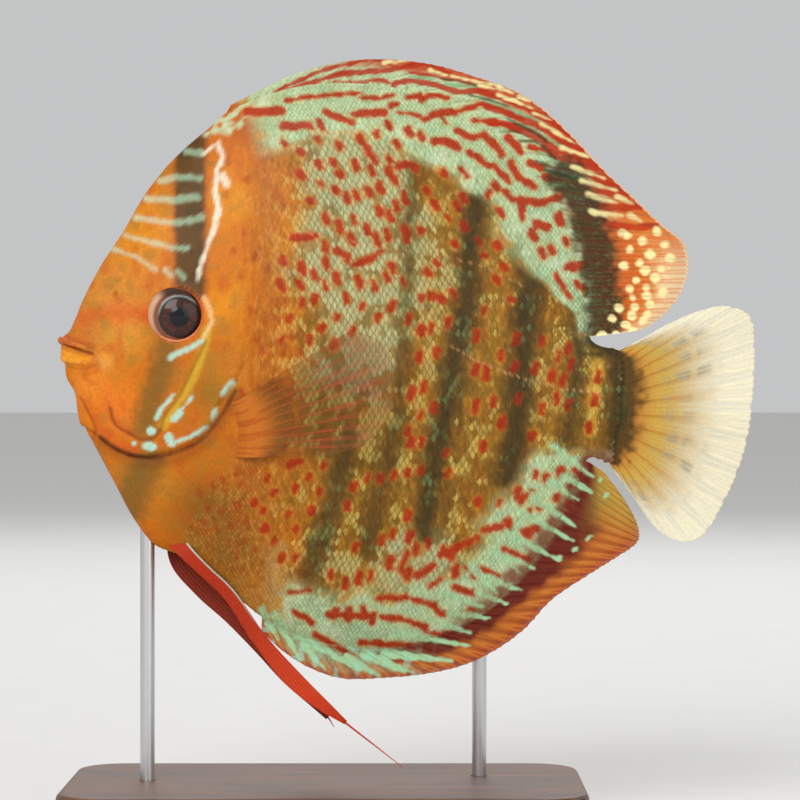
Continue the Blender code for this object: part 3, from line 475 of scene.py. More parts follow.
def mint_bands(x, z, u, v, cloud):
    """How mint a place is, in the bands along the back and the belly."""
    to_back, to_belly = rim_distance(x, z)
    reach = 17.0 + 2.5 * cloud - 13 * smooth_step(245, 335, v)
    upper = smooth_step(reach, 0.7 * reach, to_back)
    upper = upper * smooth_step(258, 290, u + 0.35 * (180 - v)) * smooth_step(350, 325, v)
    lower = smooth_step(16.5 + 3 * cloud, 10.5 + 3 * cloud, to_belly)
    lower = lower * smooth_step(258, 300, u) * smooth_step(444, 462, v)
    return np.maximum(upper, lower)


def paint_ground(x, y, z, side):
    """The skin's colour between the dashes, the dashes' colour and cover, mint and bars."""
    u, v = chart(x, y, z)
    a, b = wandered(u, v, side)
    cloud = noise(u, v, 26.0, 2)
    base = paint_warm(u, v, cloud)
    mint = mint_bands(x, z, u, v, cloud)
    cover = np.maximum(dash_cover(u, v), mint)
    tint(base, MINT, 0.9 * mint + 0.3 * smooth_step(0.55, 0.8, cover) * (1 - mint))
    tint(base, SEA, 0.5 * mint * patches(a, b, 16.0, 3, 0.1, 0.8))
    tint(base, WHITE, 0.35 * mint * patches(a, b, 12.0, 40, 0.1, 0.8))
    seam = smooth_step(0.1, 0.5, mint) * smooth_step(0.95, 0.6, mint)
    tint(base, HALO, 0.6 * seam * patches(a, b, 9.0, 4, -0.2, 0.5))
    dashes = YELLOW + (PALE_MINT - YELLOW) * smooth_step(0.45, 0.8, cover)[:, None]

    dark = np.zeros(len(x))
    for width, depth, run in BARS:
        dark = np.maximum(dark, depth * stroke(u, v, curved(run), width + 2, 23, 4.5, 8))
    dark = dark * (1 - 0.75 * mint)
    tint(base, DARK, dark)
    tint(dashes, BAR_DASH, smooth_step(0.15, 0.6, dark))
    draw(base, u, v, TAIL_YELLOW, colour(196, 152, 54), 0.85, 6, 1.5)
    tail = smooth_step(608, 624, u) * smooth_step(330, 350, v) * smooth_step(484, 466, v)
    tint(base, DARK, 0.85 * tail)
    return base, dashes, cover * (1 - 0.72 * dark), mint, dark


def paint_face(u, v, shades):
    """The bar through the eye, pale stripes, cheek marks, and painted shade in the creases and at the
    gill edge.
    """
    for width, run in EYE_BAR:
        bar = stroke(u, v, run, width, 7, 1.2) * smooth_step(4, 14, 30 - 0.10 * np.abs(v - 205))
        edge = stroke(u, v, run, width + 7, 7, 1.5) * smooth_step(120, 140, v)
        tint(shades, colour(150, 66, 22), 0.5 * edge)
        tint(shades, BROWN, 0.94 * bar * smooth_step(124, 142, v))
        tint(shades, colour(60, 44, 22), 0.4 * bar * patches(u, v * 0.5, 7.0, 39, -0.2, 0.8))
    draw(shades, u, v, CHEEK_BAR + BREAST_BAR, OLIVE, 0.74, 20, 3, smooth=True)
    draw(shades, u, v, SOFT_RED + JAW_RED, colour(198, 78, 28), 0.5, 12, 3, smooth=True)
    for width, run in FOREHEAD_STRIPES:
        amount = stroke(u, v, run, width + 0.5, 3.8, 1.3) * (0.8 + 0.2 * noise(u, v, 6.0, 9))
        tint(shades, colour(196, 200, 162), 0.85 * amount)
        tint(shades, colour(112, 150, 118), 0.8 * amount * smooth_step(166, 180, u))
    draw(shades, u, v, WAVY_LINE, colour(226, 212, 186), 0.9, 3.4, 1.5, smooth=True)
    draw(shades, u, v, NAPE_MINT, PALE_MINT, 0.8, 5, 3.0, smooth=True)
    draw(shades, u, v, CHEEK_YELLOW, colour(200, 160, 44), 0.85, 6, 0.8, smooth=True)
    # Painted shade along the creases of the cheek, throat and chin.
    for width, run in CHEEK_LINES:
        tint(shades, colour(112, 50, 14), 0.2 * width * stroke(u, v, curved(run), width, 3.5, 0.4))
    under = [(9, moved(run, 2, 6)) for _, run in GILL_SHADOW]
    draw(shades, u, v, under, colour(112, 52, 14), 0.45, 13, 1, smooth=True)
    draw(shades, u, v, GILL_SHADOW, colour(84, 30, 10), 0.8, 4, 0.5, smooth=True)
    draw(shades, u, v, CHEEK_MINT, colour(172, 208, 186), 0.95, 2.4, 1.0)
    draw(shades, u, v, EYE_STREAK, colour(228, 188, 132), 0.8, 3, 0.6)


def paint_spots(u, v, side, dark, shades):
    """The red streaks and spots, each in an amber halo, over the ground and its dashes."""
    a, b = wandered(u, v, side)
    red, halo = np.zeros(len(u)), np.zeros(len(u))
    for width, run in STREAKS:
        red = np.maximum(red, stroke(a, b, run, width - 0.4, 2.4, 1.6))
        halo = np.maximum(halo, stroke(a, b, run, width + 2, 4.0, 1.4))
    for number, (place_u, place_v) in enumerate(FLANK_SPOTS):
        lean = 2.4 if place_v < 300 else -1.4
        size, tall = 6.2 + 2.4 * math.sin(7.3 * number) ** 2, 1.4 + 2.4 * math.sin(3.1 * number) ** 2
        run = [(place_u - lean / 2, place_v - tall), (place_u + lean / 2, place_v + tall)]
        red = np.maximum(red, stroke(a, b, run, size, 2.4, 1.6, 7 + number % 5))
        halo = np.maximum(halo, stroke(a, b, run, size + 4, 5.0, 1.2))
    tint(shades, HALO, 0.55 * halo * (1 - dark))
    tint(shades, RED + (DEEP_RED - RED) * (0.7 * dark)[:, None], 0.95 * red)
    breast = [(5.0, [(pu, pv - 2), (pu + 0.5, pv + 2)]) for pu, pv in BREAST_SPOTS]
    draw(shades, a, b, breast, colour(158, 50, 12), 0.6, 4.0, 1.8)
    # Painted glints: pale dots on the scales along each lateral line.
    for line in LATERAL_GLINTS:
        dots = along(line)(np.linspace(0, 1, GLINT_COUNT))
        glints = [(1.6, [(pu - 1.2, pv - 1.0), (pu + 1.2, pv + 1.0)]) for pu, pv in dots]
        draw(shades, u, v, glints, colour(222, 160, 112), 0.6, 1.6, 0)


def anal_fingers():
    """The fingers' strokes, each begun further inside the belly's band."""
    strokes = []
    for width, run in ANAL_FINGERS:
        if len(run) > 1:
            start, end = np.array(run[0], float), np.array(run[1], float)
            run = [tuple(start - (end - start) * FINGER_ROOT / np.linalg.norm(end - start))] + run
        strokes.append((width, run))
    return strokes


def paint_fingers(u, v, to_belly, side, shades):
    """Mint fingers that run out of the belly's band into the anal fin."""
    a, b = wandered(u, v, side)
    near = smooth_step(4.4, 1.4, to_belly + 1.2 * noise(a, b, 7.0, 55)) * smooth_step(430, 480, u)
    tint(shades, colour(122, 46, 20), 0.85 * near * smooth_step(440, 460, v))
    draw(shades, a, b, anal_fingers(), colour(164, 200, 150), 0.88, 3.0, 1.6, wider=3, tip=0.5)


# Relief of the head, over the plain shape of the body.
EYE_PLACE = (-34.8, 123.4)
EYE_RADIUS, EYE_HALF_DEPTH, EYE_BULGE = 7.1, 4.6, 2.2
EYE_OPENING = 6.1
OPENING_PLACE = (-34.8, 123.35)
RING_REACH = 0.27  # points of the skin this near the opening move onto its rim
NOSTRIL_PLACE = (-49.9, 128.4)
COAT_DEPTH = 0.2
CHEEK_DEPTHS = (0.22, 0.35, 0.35, 0.12)  # of the creases along CHEEK_LINES, in mm


def scale_front(u, v):
    """How far a place lies behind the line where the scales begin, on the chart."""
    return u - 226 + 0.75 * np.maximum(v - 430, 0)


def relief(x, y, z):
    """How far the skin stands out from the plain shape, along its own normal, in mm."""
    u, v = chart(x, y, z)
    head = inside(HEAD_OUTLINE, x, z)
    edge = line_distance(GILL_LINE, x, z)
    cover = smooth_step(122, 104, z) * np.clip(np.abs(y) / 2, 0, 1)
    rise = 0.5 * (1 - smooth_step(0, 13.0, edge)) * cover
    rim = 0.22 * np.exp(-((edge - 0.9) / 0.7) ** 2) * cover
    behind = -0.5 * (1 - smooth_step(0, 1.8, edge)) * cover
    scaled = smooth_step(-6, 40, scale_front(u, v)) * np.where(head & (z < 112), 0.0, 1.0)
    out = np.where(head, rise + rim, behind) - COAT_DEPTH * scaled
    for (_, run), depth in zip(CHEEK_LINES, CHEEK_DEPTHS):
        out = out - depth * stroke(u, v, curved(run), 2, 5, 0)
    out = out + 0.25 * stroke(u, v, moved(CHEEK_LINES[1][1], 3, -6), 8, 10, 0)
    out = out - 0.9 * stroke(u, v, MOUTH_LINE, 1.6, 3.2, 0)
    out = out + 0.3 * stroke(u, v, curved(LOWER_GLOW[0][1]), 5, 9, 0)
    out = out + np.where(head, 0.07 * noise(u, v, 21.0, 91) + 0.04 * noise(u, v, 8.0, 92), 0.0)
    hole = np.hypot(x - NOSTRIL_PLACE[0], z - NOSTRIL_PLACE[1])
    out = out - 1.0 * smooth_step(0.75, 0.3, hole) + 0.1 * np.exp(-((hole - 1.0) / 0.35) ** 2)
    eye = np.hypot(x - OPENING_PLACE[0], z - OPENING_PLACE[1])
    out = out + 0.3 * np.exp(-((eye - EYE_OPENING - 0.5) / 0.6) ** 2)
    return out - 4.5 * smooth_step(EYE_OPENING + 0.1, EYE_OPENING - 0.7, eye)


SKIN_LEVELS = 210
HEAD_STATIONS, TRUNK_STATIONS, HEAD_SHARE = 130, 90, 0.42
DOUBLED = 1e-7  # metres within which points are one point
UNWRAP_EDGE, UNWRAP_WIDTH, UNWRAP_HEIGHT = 0.02, 0.46, 0.96


def skin_stations():
    """Where the skin's rings stand from snout to tail, closest at the snout."""
    head = np.linspace(0, 1, HEAD_STATIONS + 1) ** 1.15 * HEAD_SHARE
    trunk = HEAD_SHARE + (1 - HEAD_SHARE) * np.linspace(0, 1, TRUNK_STATIONS + 1)[1:]
    return np.concatenate([head, trunk])


def grid_faces(index):
    """The faces between the rows and columns of a grid of points."""
    corners = [index[:-1, :-1], index[1:, :-1], index[1:, 1:], index[:-1, 1:]]
    return np.stack(corners, -1).reshape(-1, 4)


def ring_faces(index):
    """The faces between rings of points, each a row that closes on itself."""
    after = np.roll(index, -1, axis=1)
    return np.stack([index[:-1], after[:-1], after[1:], index[1:]], -1).reshape(-1, 4)


def mesh_from(name, points, faces):
    """A mesh in metres from points in millimetres."""
    mesh = bpy.data.meshes.new(name)
    faces = faces if isinstance(faces, list) else faces.tolist()
    mesh.from_pydata((np.asarray(points) * MM).tolist(), [], faces)
    mesh.update()
    return mesh


def outward(mesh, weld=False, prune=False):
    """Turns the faces outward, once doubled points are joined and slivers taken out."""
    bm = bmesh.new()
    bm.from_mesh(mesh)
    if weld:
        bmesh.ops.remove_doubles(bm, verts=bm.verts, dist=DOUBLED)
    if prune:
        bmesh.ops.dissolve_degenerate(bm, edges=bm.edges, dist=DOUBLED)
    bmesh.ops.recalc_face_normals(bm, faces=bm.faces)
    bm.to_mesh(mesh)
    bm.free()


def set_colours(mesh, colours):
    layer = mesh.color_attributes.new("paint", "FLOAT_COLOR", "POINT")
    flat = np.ones((len(mesh.vertices), 4), np.float32)
    flat[:, :3] = colours
    layer.data.foreach_set("color", flat.ravel())


def set_solid(mesh, values):
    """How solid the see-through material is at each point."""
    layer = mesh.attributes.new("solid", "FLOAT", "POINT")
    layer.data.foreach_set("value", np.asarray(values, np.float32))


def set_unwrap(mesh, places_of_points):
    """The unwrap that the export bakes on, from a place for each point."""
    layer = mesh.uv_layers.new(name="OFBake")
    corners = np.zeros(len(mesh.loops), int)
    mesh.loops.foreach_get("vertex_index", corners)
    layer.data.foreach_set("uv", places_of_points[corners].astype(np.float32).ravel())


def of_points(mesh, kind):
    """The points' own co or normal, as rows."""
    found = np.zeros(len(mesh.vertices) * 3)
    mesh.vertices.foreach_get(kind, found)
    return found.reshape(-1, 3)


def places(mesh):
    return of_points(mesh, "co") / MM


def linked(name, data):
    """A new object in the scene."""
    made = bpy.data.objects.new(name, data)
    bpy.context.scene.collection.objects.link(made)
    return made


def shown(name, mesh, surface, nodes=()):
    """Shows the mesh as a piece of the fish, in place of the nodes given."""
    piece = linked(name, mesh)
    mesh.materials.append(surface)
    mesh.shade_smooth()
    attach(piece, "root")
    if nodes:
        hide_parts(*nodes)


def unwrap_place(s, t, side):
    """A place on the unwrap of the skin: the left side's half, then the right's."""
    across = UNWRAP_EDGE + UNWRAP_WIDTH * s + (0.5 if side > 0 else 0.0)
    return across, UNWRAP_EDGE + UNWRAP_HEIGHT * (t + 1) / 2


def make_skin(surface):
    """One skin over both sides of the head, trunk and tail stalk."""
    levels = np.sin(np.pi / 2 * np.linspace(-1, 1, SKIN_LEVELS + 1))
    s, t = np.meshgrid(skin_stations(), levels, indexing="ij")
    x, y, z = flesh(s, t)
    y = y * (0.3 + 0.7 * smooth_step(1.0, 0.955, s))
    y[:, 0] = y[:, -1] = y[0, :] = 0.0
    x, y, z = np.vstack([x, x[-1:]]), np.vstack([y, 0 * y[-1:]]), np.vstack([z, z[-1:]])
    s, t = np.vstack([s, s[-1:]]).ravel(), np.vstack([t, t[-1:]]).ravel()
    quads = grid_faces(np.arange(x.size).reshape(x.shape))
    left = np.stack([x, y, z], -1).reshape(-1, 3)
    both = np.vstack([left, left * (1, -1, 1)])
    mesh = mesh_from("skin", both, np.vstack([quads, quads[:, ::-1] + len(left)]))
    set_unwrap(mesh, np.vstack([np.stack(unwrap_place(s, t, side), -1) for side in (-1, 1)]))
    outward(mesh, weld=True, prune=True)
    co, out = places(mesh), of_points(mesh, "normal")
    off = co[:, [0, 2]] - OPENING_PLACE
    away = np.linalg.norm(off, axis=1)
    ring = np.abs(away - EYE_OPENING) < RING_REACH
    co[np.ix_(ring, [0, 2])] = OPENING_PLACE + off[ring] * (EYE_OPENING / away[ring])[:, None]
    co += out * relief(co[:, 0], co[:, 1], co[:, 2])[:, None]
    mesh.vertices.foreach_set("co", (co * MM).ravel())
    mesh.update()
    set_colours(mesh, body_paint(mesh))
    shown("skin", mesh, surface, ("head", "trunk", "tail_stalk"))


def body_paint(mesh, dashed=None):
    """The body's markings for a mesh's points, by the side each point is on.

    The scales give their own amount of light dash for each point; the bare skin has none
    of its own and takes the cover as it is.
    """
    co = places(mesh)
    shades = np.zeros((len(co), 3))
    for side in (-1, 1):
        chosen = co[:, 1] <= 0 if side < 0 else co[:, 1] > 0
        if not chosen.any():
            continue
        x, y, z = co[chosen].T
        u, v = chart(x, y, z)
        base, dashes, cover, _, dark = paint_ground(x, y, z, side)
        if dashed is None:
            share = cover * smooth_step(250, 300, u) * 0.6
        else:
            share = dashed(chosen, u, v, cover)
        paint_face(u, v, base)
        tint(base, dashes, share)
        draw(base, u, v, DORSAL_BAR, DORSAL_BLACK, 0.93, 15, 5)
        paint_spots(u, v, side, dark, base)
        paint_fingers(u, v, rim_distance(x, z)[1], side, base)
        shades[chosen] = base
    paint_socket(co, shades)
    paint_mouth(co, shades)
    return shades


def paint_socket(co, shades):
    """The thin orange rim round each eye, and the socket inside it darkened as painted shade."""
    away = np.hypot(co[:, 0] - OPENING_PLACE[0], co[:, 2] - OPENING_PLACE[1])
    tint(shades, colour(200, 96, 40), 0.7 * np.exp(-((away - 6.5) / 0.35) ** 2))
    # Painted shade: the skin sunk into the socket behind the eye is made dark.
    tint(shades, colour(84, 42, 24), smooth_step(EYE_OPENING + 0.2, EYE_OPENING - 0.3, away))


def paint_mouth(co, shades):
    """The bright lower lip, the mouth's dark line as painted shade in its slit, and its fold."""
    u, v = chart(*co.T)
    draw(shades, u, v, LOWER_GLOW, colour(236, 152, 36), 0.75, 6, 0.5, smooth=True, tip=0.4)
    draw(shades, u, v, [(6, moved(MOUTH_LINE, 1, -7))], colour(168, 74, 28), 0.6, 5, 0.5)
    # The dark line along the mouth's slit is painted shade between the lips.
    draw(shades, u, v, [(1.8, MOUTH_LINE)], colour(120, 36, 12), 0.9, 2.6, 0.2, smooth=True)
    draw(shades, u, v, [(1.4, MOUTH_FOLD)], colour(150, 62, 20), 0.4, 3.0, 0.2, smooth=True)


# Scales.
SCALE_PITCH, SCALE_HEIGHT = 0.74, 2.6  # between columns, and between scales in a column
FINE_PITCH, FINE_HEIGHT = 0.52, 1.5  # towards the fins and the head
FINE_FRONT = 262.0  # on the chart
COLUMN_BOW = 9.0  # how far a column of scales leans forward at the back and the belly
BOW_REACH = 68.0  # how far over or under the middle it leans so far
MIDDLE_HEIGHT = 112.0
FINE_BAND = 9.0  # mm from the rim
SCALE_RISE = 0.065  # how far a scale's rear edge stands over its root
SCALE_LENGTH, SCALE_SPREAD = 2.9, 0.54  # of the pitch, and half its height's share
SCALE_WALL = 0.14
SCALE_CELLS, FINE_CELLS = 4, 3
SCALE_PARTS = 2  # pieces for each kind and side
FIELD = 150  # the length and the height that the columns cover
CHART_SIDE = 12.0  # the side's usual distance from the middle, to read the chart by
BAKE_PATCH = 0.003


class Surface:
    """Places on the left side by x and z, through a fine grid of the plain shape."""

    def __init__(self):
        levels = np.sin(np.pi / 2 * np.linspace(-1, 1, 321))
        self.s, self.t = np.meshgrid(np.linspace(0, 1, 481), levels, indexing="ij")
        x, y, z = flesh(self.s, self.t)
        self.points = np.stack([x, y, z], -1)
        self.tree = KDTree(x.size)
        for i, (px, pz) in enumerate(zip(x.ravel(), z.ravel())):
            self.tree.insert((px, 0.0, pz), i)
        self.tree.balance()
        out = np.cross(np.gradient(self.points, axis=0), np.gradient(self.points, axis=1))
        self.normal = out / np.maximum(np.linalg.norm(out, axis=-1, keepdims=True), 1e-9)
        self.normal[self.normal[..., 1] > 0] *= -1

    def under(self, x, z):
        """Place, normal, s and t of the skin at (x, z)."""
        _, i, _ = self.tree.find((x, 0.0, z))
        row, column = divmod(i, self.s.shape[1])
        point, out = self.points[row, column], self.normal[row, column]
        y = point[1]
        if abs(out[1]) > 0.2:
            y = point[1] - ((x - point[0]) * out[0] + (z - point[2]) * out[2]) / out[1]
        return np.array((x, y, z)), out, self.s[row, column], self.t[row, column]


def scale_roots(pitch, height, keep, seed):
    """Places for the scales in bowed columns, each nudged a little."""
    rng = np.random.default_rng(seed)
    found = []
    for column in range(int(FIELD / pitch)):
        for row in range(int(FIELD / height)):
            up = (row + 0.5 * (column % 2)) * height - FIELD / 2
            nudge = rng.uniform(-0.08, 0.08, 2) * (pitch, height)
            x = -64.0 + column * pitch - COLUMN_BOW * (up / BOW_REACH) ** 2 + nudge[0]
            found.append((x, MIDDLE_HEIGHT + up + nudge[1], rng.uniform(0, 1)))
    roots = np.array(found)
    return roots[keep(roots[:, 0], roots[:, 1])]


def scale_plate(cells):
    """A scale's own grid: how far back (0 to 1) and up (-1 to 1), its rim, and its faces."""
    back, up = np.meshgrid(np.linspace(0, 1, cells + 1), np.linspace(-1, 1, cells + 1), indexing="ij")
    index = np.arange((cells + 1) ** 2).reshape(back.shape)
    rim = np.array(list(index[:, 0]) + list(index[-1, 1:]) + list(index[-2::-1, -1]))
    edge = np.arange(len(rim)) + index.size
    skirt = edge + len(rim)
    walls = np.stack([edge[:-1], skirt[:-1], skirt[1:], edge[1:]], -1)
    return back.ravel(), up.ravel(), rim, np.vstack([grid_faces(index), walls])


def on_trunk(x, z):
    """Whether scales grow at each place, and how far it lies from the rim."""
    u, v = chart(x, CHART_SIDE, z)
    body = inside(BODY_OUTLINE, x, z) & (x < 72.2)
    behind_gill = ~inside(HEAD_OUTLINE, x, z) & (line_distance(GILL_LINE, x, z) > 0.35)
    body &= np.where(z < 112, behind_gill, True)
    return body & (scale_front(u, v) > 6 + 9 * noise(u, v, 12.0, 13)), np.minimum(*rim_distance(x, z))


def wide_here(x, z):
    trunk, edge = on_trunk(x, z)
    return trunk & (edge > FINE_BAND) & (chart(x, CHART_SIDE, z)[0] > FINE_FRONT)


def fine_here(x, z):
    trunk, edge = on_trunk(x, z)
    band = (edge <= FINE_BAND + 0.6) | (chart(x, CHART_SIDE, z)[0] <= FINE_FRONT + 2)
    return trunk & band & (edge > 0.5)


def make_scales(shape, surface):
    """Overlapping scales over the trunk and the tail stalk, in joined pieces."""
    for pitch, height, keep, seed, cells, kind in (
        (SCALE_PITCH, SCALE_HEIGHT, wide_here, 11, SCALE_CELLS, "wide"),
        (FINE_PITCH, FINE_HEIGHT, fine_here, 12, FINE_CELLS, "fine"),
    ):
        plate = scale_plate(cells)
        roots = scale_roots(pitch, height, keep, seed)
        for side, word in ((-1, "left"), (1, "right")):
            made = [one_scale(shape, *root, pitch, height, side, plate) for root in roots]
            made.sort(key=lambda item: item[0])
            share = (len(made) + SCALE_PARTS - 1) // SCALE_PARTS
            for part in range(SCALE_PARTS):
                chosen = made[part * share : (part + 1) * share]
                build_scales(f"scales_{kind}_{word}_{part + 1}", chosen, plate, side, surface)


def one_scale(shape, x, z, chance, pitch, height, side, plate):
    """A scale's points, its place on the unwrap and its own chance."""
    back_run, up_run, rim, _ = plate
    root, out, s, t = shape.under(x, z)
    up = np.array((-2 * COLUMN_BOW * (z - MIDDLE_HEIGHT) / BOW_REACH**2, 0.0, 1.0))
    up -= out * up.dot(out)
    up /= np.linalg.norm(up)
    back = np.cross(up, out)
    back *= np.sign(back[0]) / np.linalg.norm(back)
    round_off = 0.55 + 0.45 * np.sqrt(np.clip(1 - up_run**2, 0, 1))
    run = (back_run * round_off - 0.5) * (pitch * SCALE_LENGTH)
    rise = -COAT_DEPTH + SCALE_RISE * back_run**1.2 - 0.03 * up_run**2
    place = chart(np.array([x]), CHART_SIDE, np.array([z]))
    front = scale_front(*place)[0] - 16 * noise(*place, 15.0, 15)[0]
    rise = rise - 0.14 * smooth_step(42, -4, front)
    across = up * (up_run * (height * SCALE_SPREAD))[:, None]
    points = root + back * run[:, None] + across + out * rise[:, None]
    points = np.vstack([points, points[rim], points[rim] - out * SCALE_WALL])
    if side > 0:
        points = points * (1, -1, 1)
    return x, points, unwrap_place(s, t, side), chance


def build_scales(name, chosen, plate, side, surface):
    """Joins scales in one piece and paints it, with a light dash on some of them."""
    back, up, rim, cells = plate
    count = len(chosen[0][1])
    faces = np.vstack([cells + i * count for i in range(len(chosen))])
    if side < 0:
        faces = faces[:, ::-1]
    mesh = mesh_from(name, np.vstack([item[1] for item in chosen]), faces)
    back, up = (np.concatenate([run, run[rim], run[rim]]) for run in (back, up))
    centre = np.array([item[2] for item in chosen])
    patch = np.stack([back - 0.5, up / 2], -1) * BAKE_PATCH
    set_unwrap(mesh, (centre[:, None, :] + patch[None]).reshape(-1, 2))
    chance = np.repeat([item[3] for item in chosen], count)
    back, up = np.tile(back, len(chosen)), np.tile(up, len(chosen))
    dash = np.exp(-(((back - 0.66) / 0.22) ** 2) - (up / 1.02) ** 6)

    def dashed(there, u, v, cover):
        cluster = cover + 0.5 * noise(u, v, 13.0, 21) + 0.6 * (chance[there] - 0.5)
        cluster = np.where(cover > 0.9, 1.0, cluster)
        on = smooth_step(0.34, 0.68, cluster) * smooth_step(255, 300, u)
        on = on * (0.86 + 0.14 * noise(u, v * 0.4, 2.0, 22))
        faint = 0.35 * chance[there] * smooth_step(300, 255, u)
        return 0.9 * dash[there] * np.maximum(on, faint * 0.5)

    shades = body_paint(mesh, dashed)
    rim_line = smooth_step(0.8, 1.0, np.maximum(back, np.abs(up) * 0.9))
    u, v = chart(*places(mesh).T)
    tint(shades, 0.6 * shades, 0.3 * rim_line * smooth_step(20, 70, scale_front(u, v)))
    streak = noise(u, v * 0.28, 1.9, 23) + 0.6 * noise(u, v * 0.25, 4.0, 24)
    tint(shades, 0.6 * shades, 0.42 * smooth_step(0.0, 1.1, streak) * smooth_step(240, 300, u))
    shades *= (0.92 + 0.16 * chance)[:, None]
    set_colours(mesh, shades)
    shown(name, mesh, surface)


# Fins. Each pair is a ray's root and tip, from front to back.
DORSAL_RAYS = [
    ((-23.8, 171.8), (-22.6, 174.0)), ((-20.4, 173.8), (-15.1, 177.8)),
    ((-15.1, 175.9), (-7.9, 181.2)), ((-8.4, 178.1), (0.2, 183.6)), ((-1.2, 179.3), (8.4, 184.9)),
    ((6.0, 180.0), (18.0, 184.8)), ((13.2, 179.5), (27.6, 183.4)), ((20.4, 178.1), (37.2, 180.5)),
    ((27.6, 175.7), (45.6, 177.4)), ((34.8, 172.1), (52.8, 172.8)), ((42.0, 166.8), (60.0, 166.1)),
    ((48.0, 160.8), (67.2, 158.4)), ((52.8, 154.6), (75.1, 151.0)), ((56.4, 148.1), (81.4, 145.0)),
    ((58.8, 141.6), (86.2, 141.1)), ((60.5, 136.3), (87.4, 136.8)), ((61.7, 132.0), (87.1, 132.6)),
    ((62.6, 127.2), (85.0, 127.6)), ((63.3, 122.2), (80.7, 122.9)), ((64.1, 118.3), (75.6, 119.8)),
]
ANAL_RAYS = [
    ((-15.1, 50.9), (-15.3, 47.6)), ((-12.0, 49.0), (-9.8, 42.7)), ((-7.2, 46.6), (-3.1, 38.6)),
    ((-1.2, 44.6), (4.6, 36.2)), ((6.0, 43.4), (15.1, 36.5)), ((13.2, 43.3), (24.0, 37.4)),
    ((20.4, 44.2), (32.9, 39.4)), ((27.6, 46.6), (40.8, 43.0)), ((34.8, 50.2), (48.0, 48.2)),
    ((40.8, 54.2), (54.7, 55.4)), ((46.8, 60.5), (63.6, 61.4)), ((51.6, 66.7), (69.4, 65.0)),
    ((55.9, 73.4), (74.6, 68.4)), ((59.3, 79.9), (75.6, 71.0)), ((61.4, 84.2), (74.4, 74.9)),
    ((62.8, 86.8), (71.0, 80.6)), ((63.5, 88.2), (67.0, 85.8)),
]
CAUDAL_RAYS = [
    ((70.3, 114.9), (75.6, 117.4)), ((71.3, 113.7), (81.6, 121.0)), ((71.8, 112.3), (89.3, 124.4)),
    ((72.1, 110.6), (96.2, 125.8)), ((72.4, 108.6), (102.0, 123.4)), ((72.6, 106.4), (103.2, 117.4)),
    ((72.7, 104.0), (103.2, 110.4)), ((72.6, 101.3), (102.5, 102.0)), ((72.2, 98.6), (101.3, 93.6)),
    ((71.8, 96.2), (98.9, 85.4)), ((71.2, 94.0), (95.5, 78.0)), ((70.4, 92.2), (91.0, 71.0)),
    ((69.7, 90.7), (85.7, 69.1)), ((69.0, 89.6), (79.6, 72.2)), ((68.4, 88.9), (74.4, 79.4)),
    ((67.9, 88.6), (70.4, 85.0)),
]
PECTORAL_RAYS = [
    ((-20.4, 102.9), (6.5, 119.5)), ((-19.2, 100.8), (12.7, 117.2)), ((-18.2, 98.4), (16.1, 112.3)),
    ((-17.5, 95.8), (16.8, 105.1)), ((-17.3, 93.4), (14.4, 97.9)), ((-17.5, 91.2), (8.9, 92.6)),
    ((-18.0, 89.5), (1.2, 90.3)),
]
ROOT_DEPTH = 3.0
FIN_SUNK, PECTORAL_SUNK = 0.06, 0.08  # the share of a fin that lies inside the body
BODY_HEART, TAIL_HEART = (5.0, 112.0), (40.0, 102.0)
WAVES = 7
WEB_HALF, RAY_HALF, TIP_HALF, ROOT_HALF = 0.13, 0.4, 0.14, 0.8
HARD_WIDTH, SOFT_WIDTH = 0.13, 0.10  # of a ray's ridge, in shares of the rays' spacing


def ray_ridge(u, reach, count, spines, splits):
    """1 on a ray and 0 between rays, with soft rays that split in two towards their tips."""
    place = u * count
    phase = place - np.round(place)
    hard = np.round(place) < spines
    away = np.abs(phase)
    for start, width in splits:
        away = np.abs(away - np.where(hard, 0.0, width * smooth_step(start, 1.0, reach)))
    return np.exp(-((away / np.where(hard, HARD_WIDTH, SOFT_WIDTH)) ** 2)), phase


def past_root(reach, sunk):
    """How far out a place lies on the part of a fin that shows."""
    return np.clip((reach - sunk) / (1 - sunk), 0, 1)


def fin_sheet(name, columns, rows, place, half):
    """A closed fin from place(u, reach) in 3-D and half(u, reach), its half thickness."""
    u, reach = np.meshgrid(np.linspace(0, 1, columns + 1), np.linspace(0, 1, rows + 1), indexing="ij")
    middle = place(u, reach)
    out = np.cross(np.gradient(middle, axis=0), np.gradient(middle, axis=1))
    out /= np.maximum(np.linalg.norm(out, axis=-1, keepdims=True), 1e-9)
    out = out * half(u, reach)[..., None]
    index = np.arange(u.size).reshape(u.shape)
    quads = grid_faces(index)
    ring = np.concatenate([index[:-1, 0], index[-1, :-1], index[:0:-1, -1], index[0, :0:-1]])
    after = np.roll(ring, -1)
    wall = np.stack([ring, ring + u.size, after + u.size, after], -1)
    points = np.vstack([(middle + out).reshape(-1, 3), (middle - out).reshape(-1, 3)])
    mesh = mesh_from(name, points, np.vstack([quads, quads[:, ::-1] + u.size, wall]))
    outward(mesh)
    return mesh, np.tile(u.ravel(), 2), np.tile(reach.ravel(), 2)


def show_fin(name, mesh, shades, solid, surface):
    """Shows a painted fin in place of its node."""
    set_colours(mesh, shades)
    set_solid(mesh, solid)
    shown(name + "_membrane", mesh, surface, (name,))


